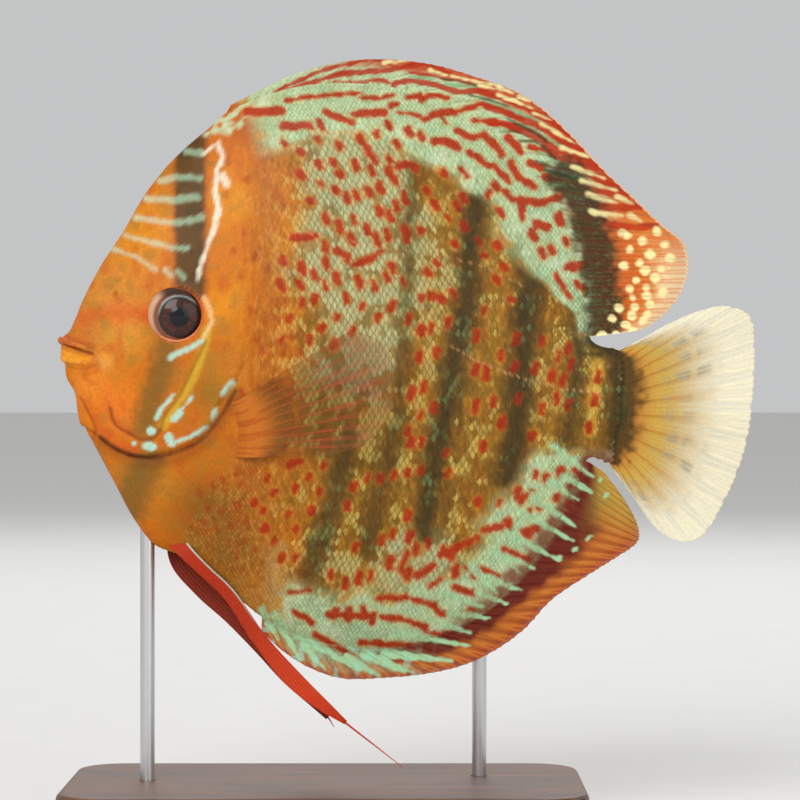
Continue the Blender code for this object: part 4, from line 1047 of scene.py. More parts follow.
def middle_fin(name, keys, count, spines, splits, heart, sway, columns, rows, notch, painter, surface):
    """A fin on the middle line, in the solid's own place, with finer rays."""
    roots, tips = along([k[0] for k in keys], True), along([k[1] for k in keys], True)

    def place(u, reach):
        root, tip = roots(u), tips(u)
        inward = np.array(heart) - root
        inward /= np.linalg.norm(inward, axis=-1, keepdims=True)
        ridge, _ = ray_ridge(u, np.ones_like(u), count, spines, splits)
        out = past_root(reach, FIN_SUNK)
        out = out * (1 - notch * (1 - ridge) * smooth_step(0.6, 1.0, out))
        flat = root + (tip - root) * out[..., None]
        flat += inward * (np.clip(1 - reach / FIN_SUNK, 0, 1) * ROOT_DEPTH)[..., None]
        return np.stack([flat[..., 0], sway * np.sin(WAVES * np.pi * u) * out**2, flat[..., 1]], -1)

    def half(u, reach):
        ridge, _ = ray_ridge(u, reach, count, spines, splits)
        ray = RAY_HALF + (TIP_HALF - RAY_HALF) * reach
        body = WEB_HALF + (ray - WEB_HALF) * ridge
        return body + (ROOT_HALF - body) * np.clip(1 - reach / 0.2, 0, 1) ** 1.5

    mesh, u, reach = fin_sheet(name, columns, rows, place, half)
    ridge, phase = ray_ridge(u, reach, count, spines, splits)
    shades, solid = painter(places(mesh), u, past_root(reach, FIN_SUNK), ridge, phase)
    show_fin(name, mesh, shades, solid, surface)


DORSAL_RED = [
    (3, [(360, 61), (385, 62), (392, 66)]),
    (6, [(335, 75), (360, 72), (390, 70), (405, 67), (420, 64), (434, 66), (452, 76)]),
    (3, [(410, 73), (430, 75), (445, 79), (460, 80), (482, 82), (502, 87)]),
    (4, [(366, 82), (380, 80), (395, 86)]),
    (6, [(393, 85), (405, 81), (420, 82), (440, 86), (455, 91), (475, 91), (500, 97), (520, 104)]),
    (7, [(480, 92), (500, 97), (520, 105), (545, 118), (565, 130), (584, 145)]),
    (7, [(488, 107), (505, 112), (520, 119), (542, 127), (560, 140), (582, 150)]),
    (8, [(490, 122), (505, 124), (520, 130), (540, 139), (555, 149), (575, 158), (598, 167)]),
    (7, [(543, 148), (560, 158), (580, 168), (600, 180), (622, 190)]),
    (7, [(558, 176), (575, 186), (595, 190), (625, 197)]), (8, [(588, 203), (605, 207), (640, 206)]),
    (7, [(600, 222), (625, 227), (655, 226)]),
    (6, [(500, 84), (530, 97), (546, 112), (562, 128), (582, 147)]),
    (6, [(582, 147), (597, 163), (622, 186), (640, 200)]),
    (5, [(262, 104), (290, 90), (320, 80), (345, 72)]), (5, [(300, 92), (330, 84), (362, 82)]),
    (4, [(275, 92), (300, 80), (330, 68), (358, 62)]),
]
DORSAL_CREAM = [
    (5, [(499, 87), (512, 93)]), (3, [(519, 97), (529, 101)]),
    (4, [(498, 95), (515, 101), (533, 109)]), (3, [(534, 113), (551, 120)]),
    (4, [(541, 124), (556, 131)]), (3.5, [(552, 130), (565, 138), (576, 144)]),
    (4.5, [(562, 148), (575, 152), (588, 157)]), (4.5, [(572, 167), (590, 173), (604, 178)]),
    (4.5, [(582, 181), (600, 186), (617, 190)]), (5, [(589, 194), (600, 198), (616, 202)]),
    (5, [(617, 197), (633, 203)]), (6, [(592, 212), (605, 214), (622, 216)]),
    (7, [(631, 216), (641, 221)]), (7, [(622, 233), (631, 236)]), (3, [(430, 70), (447, 75)]),
    (3, [(480, 85), (494, 89)]), (3, [(452, 76), (480, 82), (500, 85)]), (3, [(384, 63), (410, 60)]),
]
DORSAL_GREEN = [
    (4, [(480, 97), (493, 103), (505, 108), (520, 113)]), (4, [(516, 114), (530, 118), (545, 125)]),
    (4, [(520, 124), (535, 132), (550, 140), (562, 147)]), (4, [(540, 152), (560, 161), (575, 167)]),
    (4, [(560, 176), (577, 180), (590, 184)]), (4, [(412, 77), (432, 79)]),
    (4, [(445, 84), (475, 87)]),
]
DORSAL_DARK = [
    (3, [(508, 119), (520, 125), (535, 133), (546, 141)]), (2, [(500, 132), (515, 131), (527, 136)]),
    (3, [(520, 141), (535, 141), (545, 148), (556, 159)]), (3, [(536, 161), (550, 166)]),
    (3, [(545, 170), (560, 174), (575, 179)]), (2, [(470, 95), (490, 100), (508, 106)]),
    (3, [(556, 188), (575, 190)]), (2, [(440, 79), (460, 81), (478, 86)]),
]
DORSAL_DOTS = [
    (627, 235), (643, 241), (657, 231), (630, 250), (650, 254), (665, 245), (670, 258), (624, 266),
    (640, 263), (645, 271), (661, 269), (636, 280), (655, 278), (646, 287), (630, 289), (663, 293),
    (633, 298), (647, 296), (635, 307), (650, 304), (632, 316), (647, 314), (626, 325), (643, 321),
    (616, 334), (633, 331), (619, 308), (612, 318), (602, 336),
]
ANAL_FINGERS = [
    (6, [(565, 455), (593, 477)]), (5, [(575, 483), (592, 492)]), (5, [(562, 490), (578, 500)]),
    (6, [(545, 505), (575, 526)]), (6, [(535, 520), (573, 541)]), (6, [(520, 540), (558, 560)]),
    (5, [(505, 560), (520, 573)]), (5, [(520, 562), (534, 568)]), (6, [(480, 575), (497, 593)]),
    (6, [(500, 583), (521, 590)]), (6, [(460, 600), (483, 607)]), (5, [(492, 598), (508, 604)]),
    (6, [(465, 615), (490, 618)]), (5, [(455, 628), (470, 633)]), (6, [(410, 635), (470, 646)]),
    (7, [(400, 655), (452, 661)]), (6, [(400, 668), (412, 672)]), (6, [(268, 622), (278, 640)]),
    (6, [(282, 628), (300, 660)]), (6, [(312, 655), (325, 670)]), (7, [(310, 642), (360, 670)]),
    (7, [(360, 665), (378, 676)]), (7, [(378, 660), (405, 672)]), (4, [(601, 481)]),
    (4, [(607, 496)]), (4, [(590, 539)]), (4, [(576, 550)]), (4, [(560, 559)]),
]
FIN_NET = (2.6, 6.2)  # the scales' pitch on the chart, as it runs on over the fins' roots
CAUDAL_GAPS, CAUDAL_STRANDS, DASH_COUNT = 15, 64, 6


def fin_ground(co):
    """The body's own mint ground and red marks, which run on into the fins."""
    x, y, z = co.T
    u, v = chart(x, y, z)
    base, dashes, _, mint, dark = paint_ground(x, y, z, -1)
    tint(base, dashes, mint * patches(u, v, 1.9, 47, -0.9, 0.3))
    column = np.floor(u / FIN_NET[0])
    across = u / FIN_NET[0] - column - 0.5
    upward = (v / FIN_NET[1] + 0.5 * (column % 2)) % 1.0 - 0.5
    net = smooth_step(0.7, 1.0, 2 * np.hypot(across, upward))
    tint(base, colour(96, 118, 74), 0.34 * mint * net)
    paint_spots(u, v, -1, dark, base)
    return u, v, base


def paint_dorsal(co, u, out, ridge, phase):
    """Mint with red and dark streaks in front, then a dark bar and a dotted lobe."""
    a, b, shades = fin_ground(co)
    rear = smooth_step(0.60, 0.72, u)
    between = smooth_step(0.3, 0.5, np.abs(phase))
    margin = smooth_step(0.45, 0.8, out + 0.08 * noise(a, b, 12.0, 45)) * smooth_step(0.1, 0.3, u)
    tint(shades, colour(184, 60, 14), 0.92 * margin)
    tint(shades, colour(200, 92, 24), 0.95 * rear * smooth_step(0.0, 0.2, out))
    tint(shades, colour(222, 150, 70), 0.6 * rear * smooth_step(0.4, 0.75, out))
    draw(shades, a, b, DORSAL_GREEN, colour(124, 172, 124), 0.9, 3, 0.8)
    draw(shades, a, b, DORSAL_RED, colour(168, 46, 14), 0.92, 2.6, 1.0, smooth=True)
    bar = stroke(a, b, DORSAL_BAR[0][1], DORSAL_BAR[0][0], 15, 5)
    tint(shades, DORSAL_BLACK, 0.93 * bar)
    flecks = smooth_step(0.3, 0.7, noise(a, b, 1.5, 44) + 0.4 * noise(a, b, 14.0, 48)) * bar
    tint(shades, colour(92, 116, 70), 0.42 * flecks)
    tint(shades, colour(34, 30, 18), 0.5 * bar * between)
    draw(shades, a, b, DORSAL_DARK, colour(48, 56, 30), 0.8, 3, 0.6)
    draw(shades, a, b, DORSAL_CREAM, colour(226, 214, 150), 0.92, 3.0, 1.0, wider=0.6, tip=0.45)
    fade = smooth_step(0.56, 0.86, out + 0.06 * noise(a, b, 10.0, 46)) * smooth_step(0.7, 0.84, u)
    tint(shades, colour(236, 214, 164), 0.85 * fade)
    tint(shades, colour(200, 70, 22), 0.6 * ridge * smooth_step(0.2, 0.7, out) * rear * (1 - bar))
    for number, dot in enumerate(DORSAL_DOTS):
        size = 7.4 + 2.4 * math.sin(5.1 * number) ** 2
        spot = stroke(a, b, [dot], size, 2.4, 1.2, 7 + number % 4)
        tint(shades, colour(242, 226, 160), 0.95 * spot)
    tint(shades, colour(120, 40, 16), 0.3 * between * (1 - fade))
    edge = smooth_step(0.965, 0.99, out)
    tint(shades, colour(238, 214, 168), 0.7 * edge * smooth_step(0.35, 0.5, u))
    tint(shades, WHITE, 0.8 * smooth_step(0.994, 1.0, u))
    return shades, 1 - 0.45 * smooth_step(0.75, 1.0, out) * (1 - ridge) * smooth_step(0.6, 0.8, u)


def paint_anal(co, u, out, ridge, phase):
    """Mint fingers on maroon, then amber rays, with a red margin and painted aqua glints in front."""
    a, b, shades = fin_ground(co)
    front = smooth_step(0.42, 0.26, u)
    tint(shades, MAROON, (1 - 0.6 * front) * smooth_step(-0.25, 0.1, out))
    amber = smooth_step(0.34, 0.6, out + 0.1 * noise(a, b, 10.0, 51))
    tint(shades, colour(178, 96, 34), 0.92 * amber * (1 - 0.5 * front))
    tint(shades, colour(172, 146, 60), 0.85 * smooth_step(0.72, 0.9, u) * smooth_step(0.1, 0.4, out))
    rim = smooth_step(0.7, 0.95, out + 0.06 * noise(a, b, 4.0, 52)) * smooth_step(0.9, 0.7, u)
    tint(shades, colour(164, 58, 24), 0.85 * rim)
    tint(shades, colour(110, 50, 20), 0.4 * smooth_step(0.25, 0.5, np.abs(phase)))
    tint(shades, colour(214, 140, 56), 0.4 * ridge * smooth_step(0.4, 0.7, out))
    draw(shades, a, b, anal_fingers(), colour(158, 200, 152), 0.92, 2.6, 1.3, wider=3, tip=0.45)
    # Painted glints: aqua patches at the fin's front.
    tint(shades, colour(150, 214, 188), 0.5 * (patches(a, b, 7.0, 53, 0.15, 0.6) * front))
    return shades, 1 - 0.3 * smooth_step(0.8, 1.0, out) * (1 - ridge)


def paint_caudal(co, u, out, ridge, phase):
    """Amber rays that fade to cream, with rows of grey-blue dashes between them."""
    a, b = chart(*co.T)
    shades = np.tile(colour(194, 164, 76), (len(a), 1))
    tint(shades, colour(240, 232, 202), smooth_step(0.25, 0.8, out))
    strand = np.cos(2 * np.pi * (u * CAUDAL_STRANDS + 0.15 * noise(a, b, 20.0, 64)))
    near = smooth_step(0.8, 0.1, out)
    tint(shades, colour(204, 134, 36), 0.62 * smooth_step(0.1, 0.9, strand) * near)
    tint(shades, colour(182, 120, 38), 0.75 * ridge * smooth_step(0.85, 0.1, out))
    tint(shades, colour(180, 104, 32), 0.75 * smooth_step(0.3, 0.05, out))
    gap = np.floor(u * CAUDAL_GAPS)
    middle = np.abs(u * CAUDAL_GAPS - gap - 0.5)
    beat = np.abs(((out * DASH_COUNT + 0.9 * np.sin(12.9 * gap) ** 2) % 1.0) - 0.5)
    span = smooth_step(0.22, 0.36, out) * smooth_step(0.78, 0.55, out)
    dash = smooth_step(0.36, 0.1, middle) * smooth_step(0.42, 0.26, beat) * span
    dash = dash * (0.4 + 0.6 * smooth_step(-0.6, 0.2, strand))
    tint(shades, colour(150, 150, 130), 0.75 * dash * patches(a, b, 15.0, 63, -0.5, 0.4))
    tint(shades, DARK, 0.9 * smooth_step(0.17, 0.04, out + 0.05 * noise(a, b, 6.0, 62)))
    clear = 0.62 - 0.3 * ridge - 0.2 * smooth_step(0.4, 0.9, strand)
    return shades, 1 - smooth_step(0.12, 0.8, out) * clear


def paint_paddle(co, u, out, ridge):
    """A see-through paddle of red-brown rays on a fleshy orange base."""
    a, b = chart(*co.T)
    shades = np.tile(colour(108, 82, 36), (len(a), 1))
    band = patches(a, b * 1.6, 13.0, 66, 0.1, 0.6)
    base = smooth_step(0.34, 0.06, out)
    tint(shades, colour(136, 48, 24), 0.6 * band)
    tint(shades, colour(186, 68, 36), 0.75 * ridge * smooth_step(0.05, 0.3, out))
    tint(shades, colour(186, 104, 30), base)
    grain = patches(u * 40, out * 12, 2.0, 67, 0.1, 0.6)
    tint(shades, colour(160, 60, 24), 0.5 * grain * smooth_step(0.3, 0.1, out))
    tint(shades, colour(150, 112, 70), 0.4 * smooth_step(0.7, 1.0, out))
    solid = 0.13 + 0.16 * band + (0.36 * smooth_step(1.1, 0.2, out)) * ridge
    solid = np.maximum(solid, 0.24 * smooth_step(0.97, 1.0, out))
    return shades, solid + (1 - solid) * smooth_step(0.36, 0.06, out)


PECTORAL_COUNT, PECTORAL_STAND_OFF, PECTORAL_FLARE, PECTORAL_CUP = 12, 0.6, 3.4, 1.2
PECTORAL_ROOT_SHIFT, PECTORAL_SINK = 2.6, 2.4
PECTORAL_SPLITS = ((0.35, 0.16), (0.7, 0.07))
PECTORAL_WEB, PECTORAL_RAY, PECTORAL_TIP = 0.1, 0.34, 0.12  # half thicknesses
RIGHT_SWING = 2.2  # how much further the right fin stands off


def pectoral(word, side, swing, flank, surface):
    """A rounded paddle that stands off the flank behind the gill cover."""
    roots = along([k[0] for k in PECTORAL_RAYS], True)
    tips = along([k[1] for k in PECTORAL_RAYS], True)

    def place(u, reach):
        root, tip = roots(u), tips(u)
        out = past_root(reach, PECTORAL_SUNK)
        deep = np.clip(1 - reach / PECTORAL_SUNK, 0, 1)
        flat = root + (tip - root) * out[..., None]
        cup = PECTORAL_CUP * (2 * u - 1) ** 2 * out
        off = flank + PECTORAL_STAND_OFF * (1 - deep) + (PECTORAL_FLARE + swing) * out + cup
        off = off - PECTORAL_SINK * deep
        return np.stack([flat[..., 0] - PECTORAL_ROOT_SHIFT * deep, side * off, flat[..., 1]], -1)

    def half(u, reach):
        ridge, _ = ray_ridge(u, reach, PECTORAL_COUNT, 0, PECTORAL_SPLITS)
        ray = PECTORAL_RAY + (PECTORAL_TIP - PECTORAL_RAY) * reach
        shape = 0.5 + (ridge - 0.5) * smooth_step(0.16, 0.4, reach)
        lobe = np.sqrt(np.clip(1 - (2 * u - 1) ** 2, 0, 1))
        root = (0.5 + 0.7 * lobe) * np.clip(1 - reach / 0.28, 0, 1) ** 1.2
        return PECTORAL_WEB + (ray - PECTORAL_WEB) * shape + root

    name = "pectoral_fin_" + word
    mesh, u, reach = fin_sheet(name, 240, 60, place, half)
    ridge, _ = ray_ridge(u, reach, PECTORAL_COUNT, 0, PECTORAL_SPLITS)
    shades, solid = paint_paddle(places(mesh), u, past_root(reach, PECTORAL_SUNK), ridge)
    show_fin(name, mesh, shades, solid, surface)


# Pelvic fins: each place is x, y, z and half the fin's width there.
NEAR_PELVIC = [
    (-36.4, -2.0, 70.5, 2.0), (-33.0, -4.1, 66.8, 1.7), (-28.6, -3.9, 62.4, 1.5),
    (-23.8, -2.9, 57.8, 1.5), (-15.6, -1.7, 45.9, 1.7), (-6.4, -1.5, 35.2, 2.1),
    (1.2, -1.3, 28.8, 1.2), (5.0, -1.2, 25.9, 0.5),
]
FAR_PELVIC = [
    (-36.4, 2.0, 70.5, 2.0), (-35.2, 3.4, 65.0, 2.4), (-29.6, 3.4, 58.2, 2.5),
    (-22.4, 2.6, 51.4, 2.2), (-15.2, 1.9, 43.4, 1.7), (-8.6, 1.6, 36.0, 1.5),
    (-2.6, 1.4, 30.2, 1.0), (0.6, 1.3, 26.8, 0.5),
]
NEAR_THREAD = [(2.4, -1.25, 27.9), (6.8, -1.1, 24.4), (12.6, -1.0, 19.9), (18.7, -0.9, 15.1)]
FAR_THREAD = [(-1.0, 1.35, 28.6), (0.9, 1.3, 26.6), (2.2, 1.25, 24.5)]
PELVIC_RAYS, PELVIC_SPLITS = 6, ((0.4, 0.14),)
THREAD_RADIUS = 0.3


def pelvic(word, line, thread, shade, surface):
    """A long narrow fin that trails under the belly and ends in a thread."""
    middle = along([point[:3] for point in line])
    lengths = np.linalg.norm(np.diff(np.array(line)[:, :3], axis=0), axis=1)
    pace = np.concatenate([[0], np.cumsum(lengths)]) / np.sum(lengths)
    width_at = through(list(zip(pace, [point[3] for point in line])))

    def place(u, reach):
        run = middle(np.minimum(reach + 0.01, 1)) - middle(np.maximum(reach - 0.01, 0))
        across = np.stack([-run[..., 2], 0 * run[..., 0], run[..., 0]], -1)
        across /= np.maximum(np.linalg.norm(across, axis=-1, keepdims=True), 1e-9)
        return middle(reach) + across * ((2 * u - 1) * width_at(reach))[..., None]

    def half(u, reach):
        ridge, _ = ray_ridge(u, reach, PELVIC_RAYS, 0, PELVIC_SPLITS)
        return 0.13 + (0.36 - 0.2 * reach) * ridge

    name = "pelvic_fin_" + word
    mesh, u, reach = fin_sheet(name, 96, 110, place, half)
    ridge, _ = ray_ridge(u, reach, PELVIC_RAYS, 0, PELVIC_SPLITS)
    shades = np.tile(shade, (len(u), 1))
    tint(shades, colour(228, 98, 44), 0.5 * ridge)
    tint(shades, colour(120, 30, 22), 0.35 * (1 - ridge) * smooth_step(0.9, 0.4, reach))
    if word == "left":
        streak = smooth_step(0.16, 0.06, 1 - u) * smooth_step(0.5, 0.3, reach)
        tint(shades, colour(190, 224, 208), 0.9 * streak)
    show_fin(name, mesh, shades, np.full(len(u), 0.96), surface)
    wisp(name + "_thread", thread, surface, colour(206, 60, 34))


def across_run(centre, upright):
    """Two directions across a centre line, at each of its points."""
    run = np.gradient(centre, axis=0)
    run /= np.linalg.norm(run, axis=1, keepdims=True)
    one = np.cross(run, upright)
    one /= np.linalg.norm(one, axis=1, keepdims=True)
    return one, np.cross(run, one)


def tube(name, centre, one, two, size, sides, closed=False):
    """Rings of a given size round a centre line, as a mesh, and the points' places."""
    turn = np.linspace(0, 2 * np.pi, sides, endpoint=False)
    ring = one[:, None] * np.cos(turn)[None, :, None] + two[:, None] * np.sin(turn)[None, :, None]
    points = (centre[:, None] + ring * size[:, None, None]).reshape(-1, 3)
    index = np.arange(len(points)).reshape(len(centre), sides)
    if closed:
        mesh = mesh_from(name, points, ring_faces(np.vstack([index, index[:1]])))
        outward(mesh)
    else:
        caps = [index[0].tolist()[::-1], index[-1].tolist()]
        mesh = mesh_from(name, points, ring_faces(index).tolist() + caps)
    return mesh, points


def wisp(name, points, surface, shade):
    """A thin thread along a smooth curve, tapering to its end."""
    v = np.linspace(0, 1, 49)
    centre = along(points)(v)
    size = THREAD_RADIUS * (1 - 0.75 * v)
    mesh, found = tube(name, centre, *across_run(centre, (0, 1, 0)), size, 8)
    set_colours(mesh, np.tile(shade, (len(found), 1)))
    set_solid(mesh, np.ones(len(found)))
    shown(name, mesh, surface)


# The mouth's lips, as in the solids: half of each path, from the corner to the front.
UPPER_LIP = [(-55.4, 5.6, 115.3), (-59.6, 4.2, 116.5), (-62.4, 2.2, 117.3), (-63.2, 0, 117.5)]
LOWER_LIP = [(-55.2, 5.6, 111.6), (-58.8, 4.2, 112.6), (-61.3, 2.1, 113.4), (-62.0, 0, 113.5)]
UPPER_RADIUS, LOWER_RADIUS = 0.95, 1.55
LIP_CORNER = 0.32
LIP_SIDES = 20


def lip(name, half_path, radius, shade, surface):
    """A soft lip round the snout, thinner at the corners of the mouth."""
    v = np.linspace(0, 1, 121)
    centre = along([(x, -y, z) for x, y, z in half_path] + half_path[::-1][1:])(v)
    one, two = across_run(centre, (0, 0, 1))
    aside = np.abs(2 * v - 1)
    size = radius * (1 - (1 - LIP_CORNER) * aside**1.5)
    mesh, points = tube(name, centre, one, -two, size, LIP_SIDES)
    shades = np.tile(shade, (len(points), 1))
    corner = smooth_step(0.35, 0.95, np.repeat(aside, LIP_SIDES))
    tint(shades, colour(210, 122, 36), 0.9 * corner)
    folds = patches(points[:, 0] * 4, points[:, 2] * 4, 2.4, 71, 0.1, 0.7)
    tint(shades, colour(180, 74, 24), 0.4 * folds)
    set_colours(mesh, shades)
    shown(name, mesh, surface)


RIM_SIZE, RIM_SIDES = 0.3, 12


def eye_rim(word, side, shape, surface):
    """The thin soft rim where the skin meets the eye."""
    angle = np.linspace(0, 2 * np.pi, 145)[:-1]
    x = OPENING_PLACE[0] + (EYE_OPENING + 0.12) * np.cos(angle)
    z = OPENING_PLACE[1] + (EYE_OPENING + 0.12) * np.sin(angle)
    centre = np.array([shape.under(px, pz)[0] for px, pz in zip(x, z)])
    lift = centre[:, 1].mean() + 0.7 * (centre[:, 1] - centre[:, 1].mean())
    centre[:, 1] = 0.5 * (centre[:, 1] + lift) - 0.08
    inward = np.stack([-np.cos(angle), 0 * angle, -np.sin(angle)], -1)
    outer = np.tile((0.0, -float(side), 0.0), (len(angle), 1))
    size = np.full(len(angle), RIM_SIZE)
    name = "eye_rim_" + word
    mesh, points = tube(name, centre * (1, -side, 1), inward, outer, size, RIM_SIDES, closed=True)
    shades = np.tile(colour(196, 92, 40), (len(points), 1))
    upward = np.repeat(np.sin(angle), RIM_SIDES)
    tint(shades, colour(96, 56, 26), 0.8 * smooth_step(0.3, 0.95, upward))
    tint(shades, colour(222, 150, 104), 0.6 * smooth_step(-0.2, -0.9, upward))
    set_colours(mesh, shades)
    shown(name, mesh, surface)


EYE_RINGS, EYE_SIDES = 90, 120
IRIS_CENTRE = (0.75, -0.6)  # from the eye's own middle, in mm
IRIS_RADIUS, PUPIL_RADIUS = 4.95, 2.3


def make_eye(word, side, flank, surface):
    """An eyeball with its iris and the pupil's bulging lens."""
    centre = np.array((EYE_PLACE[0], side * (flank + EYE_BULGE - EYE_HALF_DEPTH), EYE_PLACE[1]))
    polar = np.linspace(0, np.pi * 0.62, EYE_RINGS + 1)
    angle = np.linspace(0, 2 * np.pi, EYE_SIDES, endpoint=False)
    p, q = np.meshgrid(polar, angle, indexing="ij")
    x, z = EYE_RADIUS * np.sin(p) * np.cos(q), EYE_RADIUS * np.sin(p) * np.sin(q)
    away = np.hypot(x - IRIS_CENTRE[0], z - IRIS_CENTRE[1])
    out = EYE_HALF_DEPTH * np.cos(p)
    out = out + 0.1 * smooth_step(PUPIL_RADIUS + 0.3, PUPIL_RADIUS - 0.8, away)
    out = out - 0.1 * np.exp(-((away - IRIS_RADIUS) / 0.35) ** 2)
    points = np.stack([centre[0] + x, centre[1] + side * out, centre[2] + z], -1).reshape(-1, 3)
    index = np.arange(len(points)).reshape(p.shape)
    mesh = mesh_from("eyeball_" + word, points, ring_faces(index).tolist() + [index[-1].tolist()])
    outward(mesh, weld=True)
    set_colours(mesh, eye_paint(places(mesh) - centre))
    shown("eyeball_" + word, mesh, surface, ("eye_" + word,))


def eye_paint(off):
    """Pupil, iris with a painted highlight in a pale arc, the coloured ring outside it, from the eye's
    middle.
    """
    x, z = off[:, 0] - IRIS_CENTRE[0], off[:, 2] - IRIS_CENTRE[1]
    away, turn = np.hypot(x, z), np.arctan2(z, x)
    shades = np.tile(colour(58, 30, 24), (len(off), 1))
    tint(shades, colour(96, 46, 32), 0.7 * patches(turn * 11, away, 1.3, 81, -0.2, 0.8))
    tint(shades, colour(46, 34, 30), 0.8 * smooth_step(3.3, 4.6, away))
    tint(shades, colour(58, 30, 26), 0.7 * smooth_step(3.0, 2.2, away))
    tint(shades, colour(14, 17, 24), smooth_step(PUPIL_RADIUS + 0.3, PUPIL_RADIUS - 0.25, away))
    outer = smooth_step(IRIS_RADIUS - 0.05, IRIS_RADIUS + 0.25, away)
    tint(shades, colour(122, 66, 36), 0.95 * outer)
    tint(shades, colour(150, 84, 46), 0.7 * outer * smooth_step(0.9, 0.4, np.abs(turn + 1.6)))
    front = smooth_step(1.15, 0.5, np.abs(np.abs(turn) - 2.95))
    tint(shades, colour(126, 76, 50), 0.85 * outer * front)
    tint(shades, colour(214, 170, 138), 0.85 * smooth_step(5.8, 6.8, away) * front)
    above = smooth_step(1.05, 0.55, np.abs(turn - 1.45))
    tint(shades, colour(58, 36, 24), 0.95 * outer * above)
    # A painted highlight: a thin grey-blue arc along the top of the iris.
    arc = np.exp(-((away - IRIS_RADIUS) / 0.24) ** 2)
    tint(shades, colour(138, 148, 144), 0.75 * arc * smooth_step(1.35, 0.9, np.abs(turn - 1.9)))
    return shades


class Surfacing:
    """A new material, with short calls that add and join its nodes."""

    def __init__(self, name):
        self.made = bpy.data.materials.new(name)
        self.made.use_nodes = True
        self.tree = self.made.node_tree
        self.shader = self.tree.nodes["Principled BSDF"]
        self.where = self.add("TexCoord")

    def add(self, kind, **settings):
        """A node with its settings; an underscore stands for a space in an input's name."""
        return self.tune(self.tree.nodes.new("ShaderNode" + kind), **settings)

    def tune(self, node, **settings):
        for key, value in settings.items():
            entry = key.replace("_", " ")
            if entry in node.inputs:
                node.inputs[entry].default_value = value
            else:
                setattr(node, key, value)
        return node

    def join(self, source, output, target, entry):
        self.tree.links.new(source.outputs[output], target.inputs[entry])

    def stretched(self, *scale):
        """The object's own places, stretched."""
        mapping = self.add("Mapping", Scale=scale)
        self.join(self.where, "Object", mapping, "Vector")
        return mapping, "Vector"

    def noise(self, source, **settings):
        """Noise over the places that a node and its output give."""
        made = self.add("TexNoise", **settings)
        self.join(*source, made, "Vector")
        return made

    def spread(self, source, low, high, **settings):
        """A noise's value, brought to run from low to high."""
        made = self.add("MapRange", To_Min=low, To_Max=high, **settings)
        self.join(source, "Fac", made, "Value")
        return made

    def ramp(self, source, *stops):
        """The shader's colour from a noise's value through (place, colour) stops."""
        made = self.add("ValToRGB")
        for element, (place, shade) in zip(made.color_ramp.elements, stops):
            element.position = place
            element.color = (*shade, 1)
        self.join(source, "Fac", made, "Fac")
        self.join(made, "Color", self.shader, "Base Color")

    def paint(self, amount):
        """The mesh's own paint, made lighter and darker by an amount."""
        paint = self.add("VertexColor", layer_name="paint")
        mixed = self.add("VectorMath", operation="SCALE")
        self.join(paint, "Color", mixed, "Vector")
        self.join(amount, "Result", mixed, "Scale")
        self.join(mixed, "Vector", self.shader, "Base Color")

    def bump(self, source, output, height, strength):
        made = self.add("Bump", Distance=height, Strength=strength)
        self.join(source, output, made, "Height")
        self.join(made, "Normal", self.shader, "Normal")


def painted(name, roughness, coat, grain, height, fleck, clear=False, soft=True, tall=1.0):
    """A glossy material that shows the mesh's own paint, broken up by fine noise."""
    made = Surfacing(name)
    fine = made.noise(made.stretched(1.0, 1.0, 1 / tall), Scale=grain * 0.6, Detail=4.0)
    made.paint(made.spread(fine, 1 - fleck, 1 + fleck, From_Min=0.3, From_Max=0.7))
    cells = made.add("TexVoronoi", Scale=grain)
    made.join(made.where, "Object", cells, "Vector")
    made.bump(cells, "Distance", height, 0.35)
    made.tune(made.shader, Roughness=roughness, Specular_IOR_Level=0.12)
    made.tune(made.shader, Coat_Weight=coat, Coat_Roughness=0.12)
    if soft:
        made.tune(made.shader, Subsurface_Weight=0.05, Subsurface_Scale=0.0012)
        made.tune(made.shader, Subsurface_Radius=(1.0, 0.45, 0.25))
    if clear:
        solid = made.add("Attribute", attribute_name="solid")
        made.join(solid, "Fac", made.shader, "Alpha")
    return made.made


def eye_material():
    """The painted eye under a clear wet coat."""
    made = Surfacing("eye")
    streaks = made.noise((made.where, "Object"), Scale=2600.0, Detail=3.0)
    made.paint(made.spread(streaks, 0.8, 1.2))
    made.tune(made.shader, Roughness=0.35, Specular_IOR_Level=0.1)
    made.tune(made.shader, Coat_IOR=1.3, Coat_Weight=1.0, Coat_Roughness=0.02)
    return made.made


def wood():
    """Dark oiled wood, its grain along the base."""
    made = Surfacing("oiled_wood")
    long = made.stretched(0.12, 1.0, 1.0)
    grain = made.noise(long, Scale=260.0, Detail=8.0, Roughness=0.62, Distortion=0.6)
    made.ramp(grain, (0.32, colour(58, 34, 20)), (0.68, colour(120, 76, 44)))
    made.join(made.spread(grain, 0.32, 0.5), "Result", made.shader, "Roughness")
    made.bump(grain, "Fac", 0.0002, 0.3)
    return made.made


def steel():
    """Brushed steel, the scratches running round the rods."""
    made = Surfacing("brushed_steel")
    lines = made.noise(made.stretched(0.05, 0.05, 1.0), Scale=9000.0, Detail=2.0)
    made.join(made.spread(lines, 0.22, 0.42), "Result", made.shader, "Roughness")
    made.tune(made.shader, Base_Color=(0.62, 0.62, 0.63, 1), Metallic=1.0)
    return made.made


def dress_stand():
    """Gives the stand's own solids their materials."""
    for name, surface, slot in (
        ("stand_base", wood(), "stand_wood"), ("stand_rod_front", steel(), "rod_steel"),
        ("stand_rod_rear", steel(), "rod_steel"),
    ):
        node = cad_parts[name]
        node.data.materials.clear()
        node.data.materials.append(surface)


FLOOR_REACH = 25000.0
# Each light's name, place, target, size and power.
LIGHTS = [
    ("key", (-780, -1860, 1350), (0, 0, 105), 1260, 33.0),
    ("fill", (1240, -1680, 520), (10, 0, 100), 1560, 9.5),
    ("rim", (180, 1140, 1200), (0, 0, 120), 1260, 9.0),
]


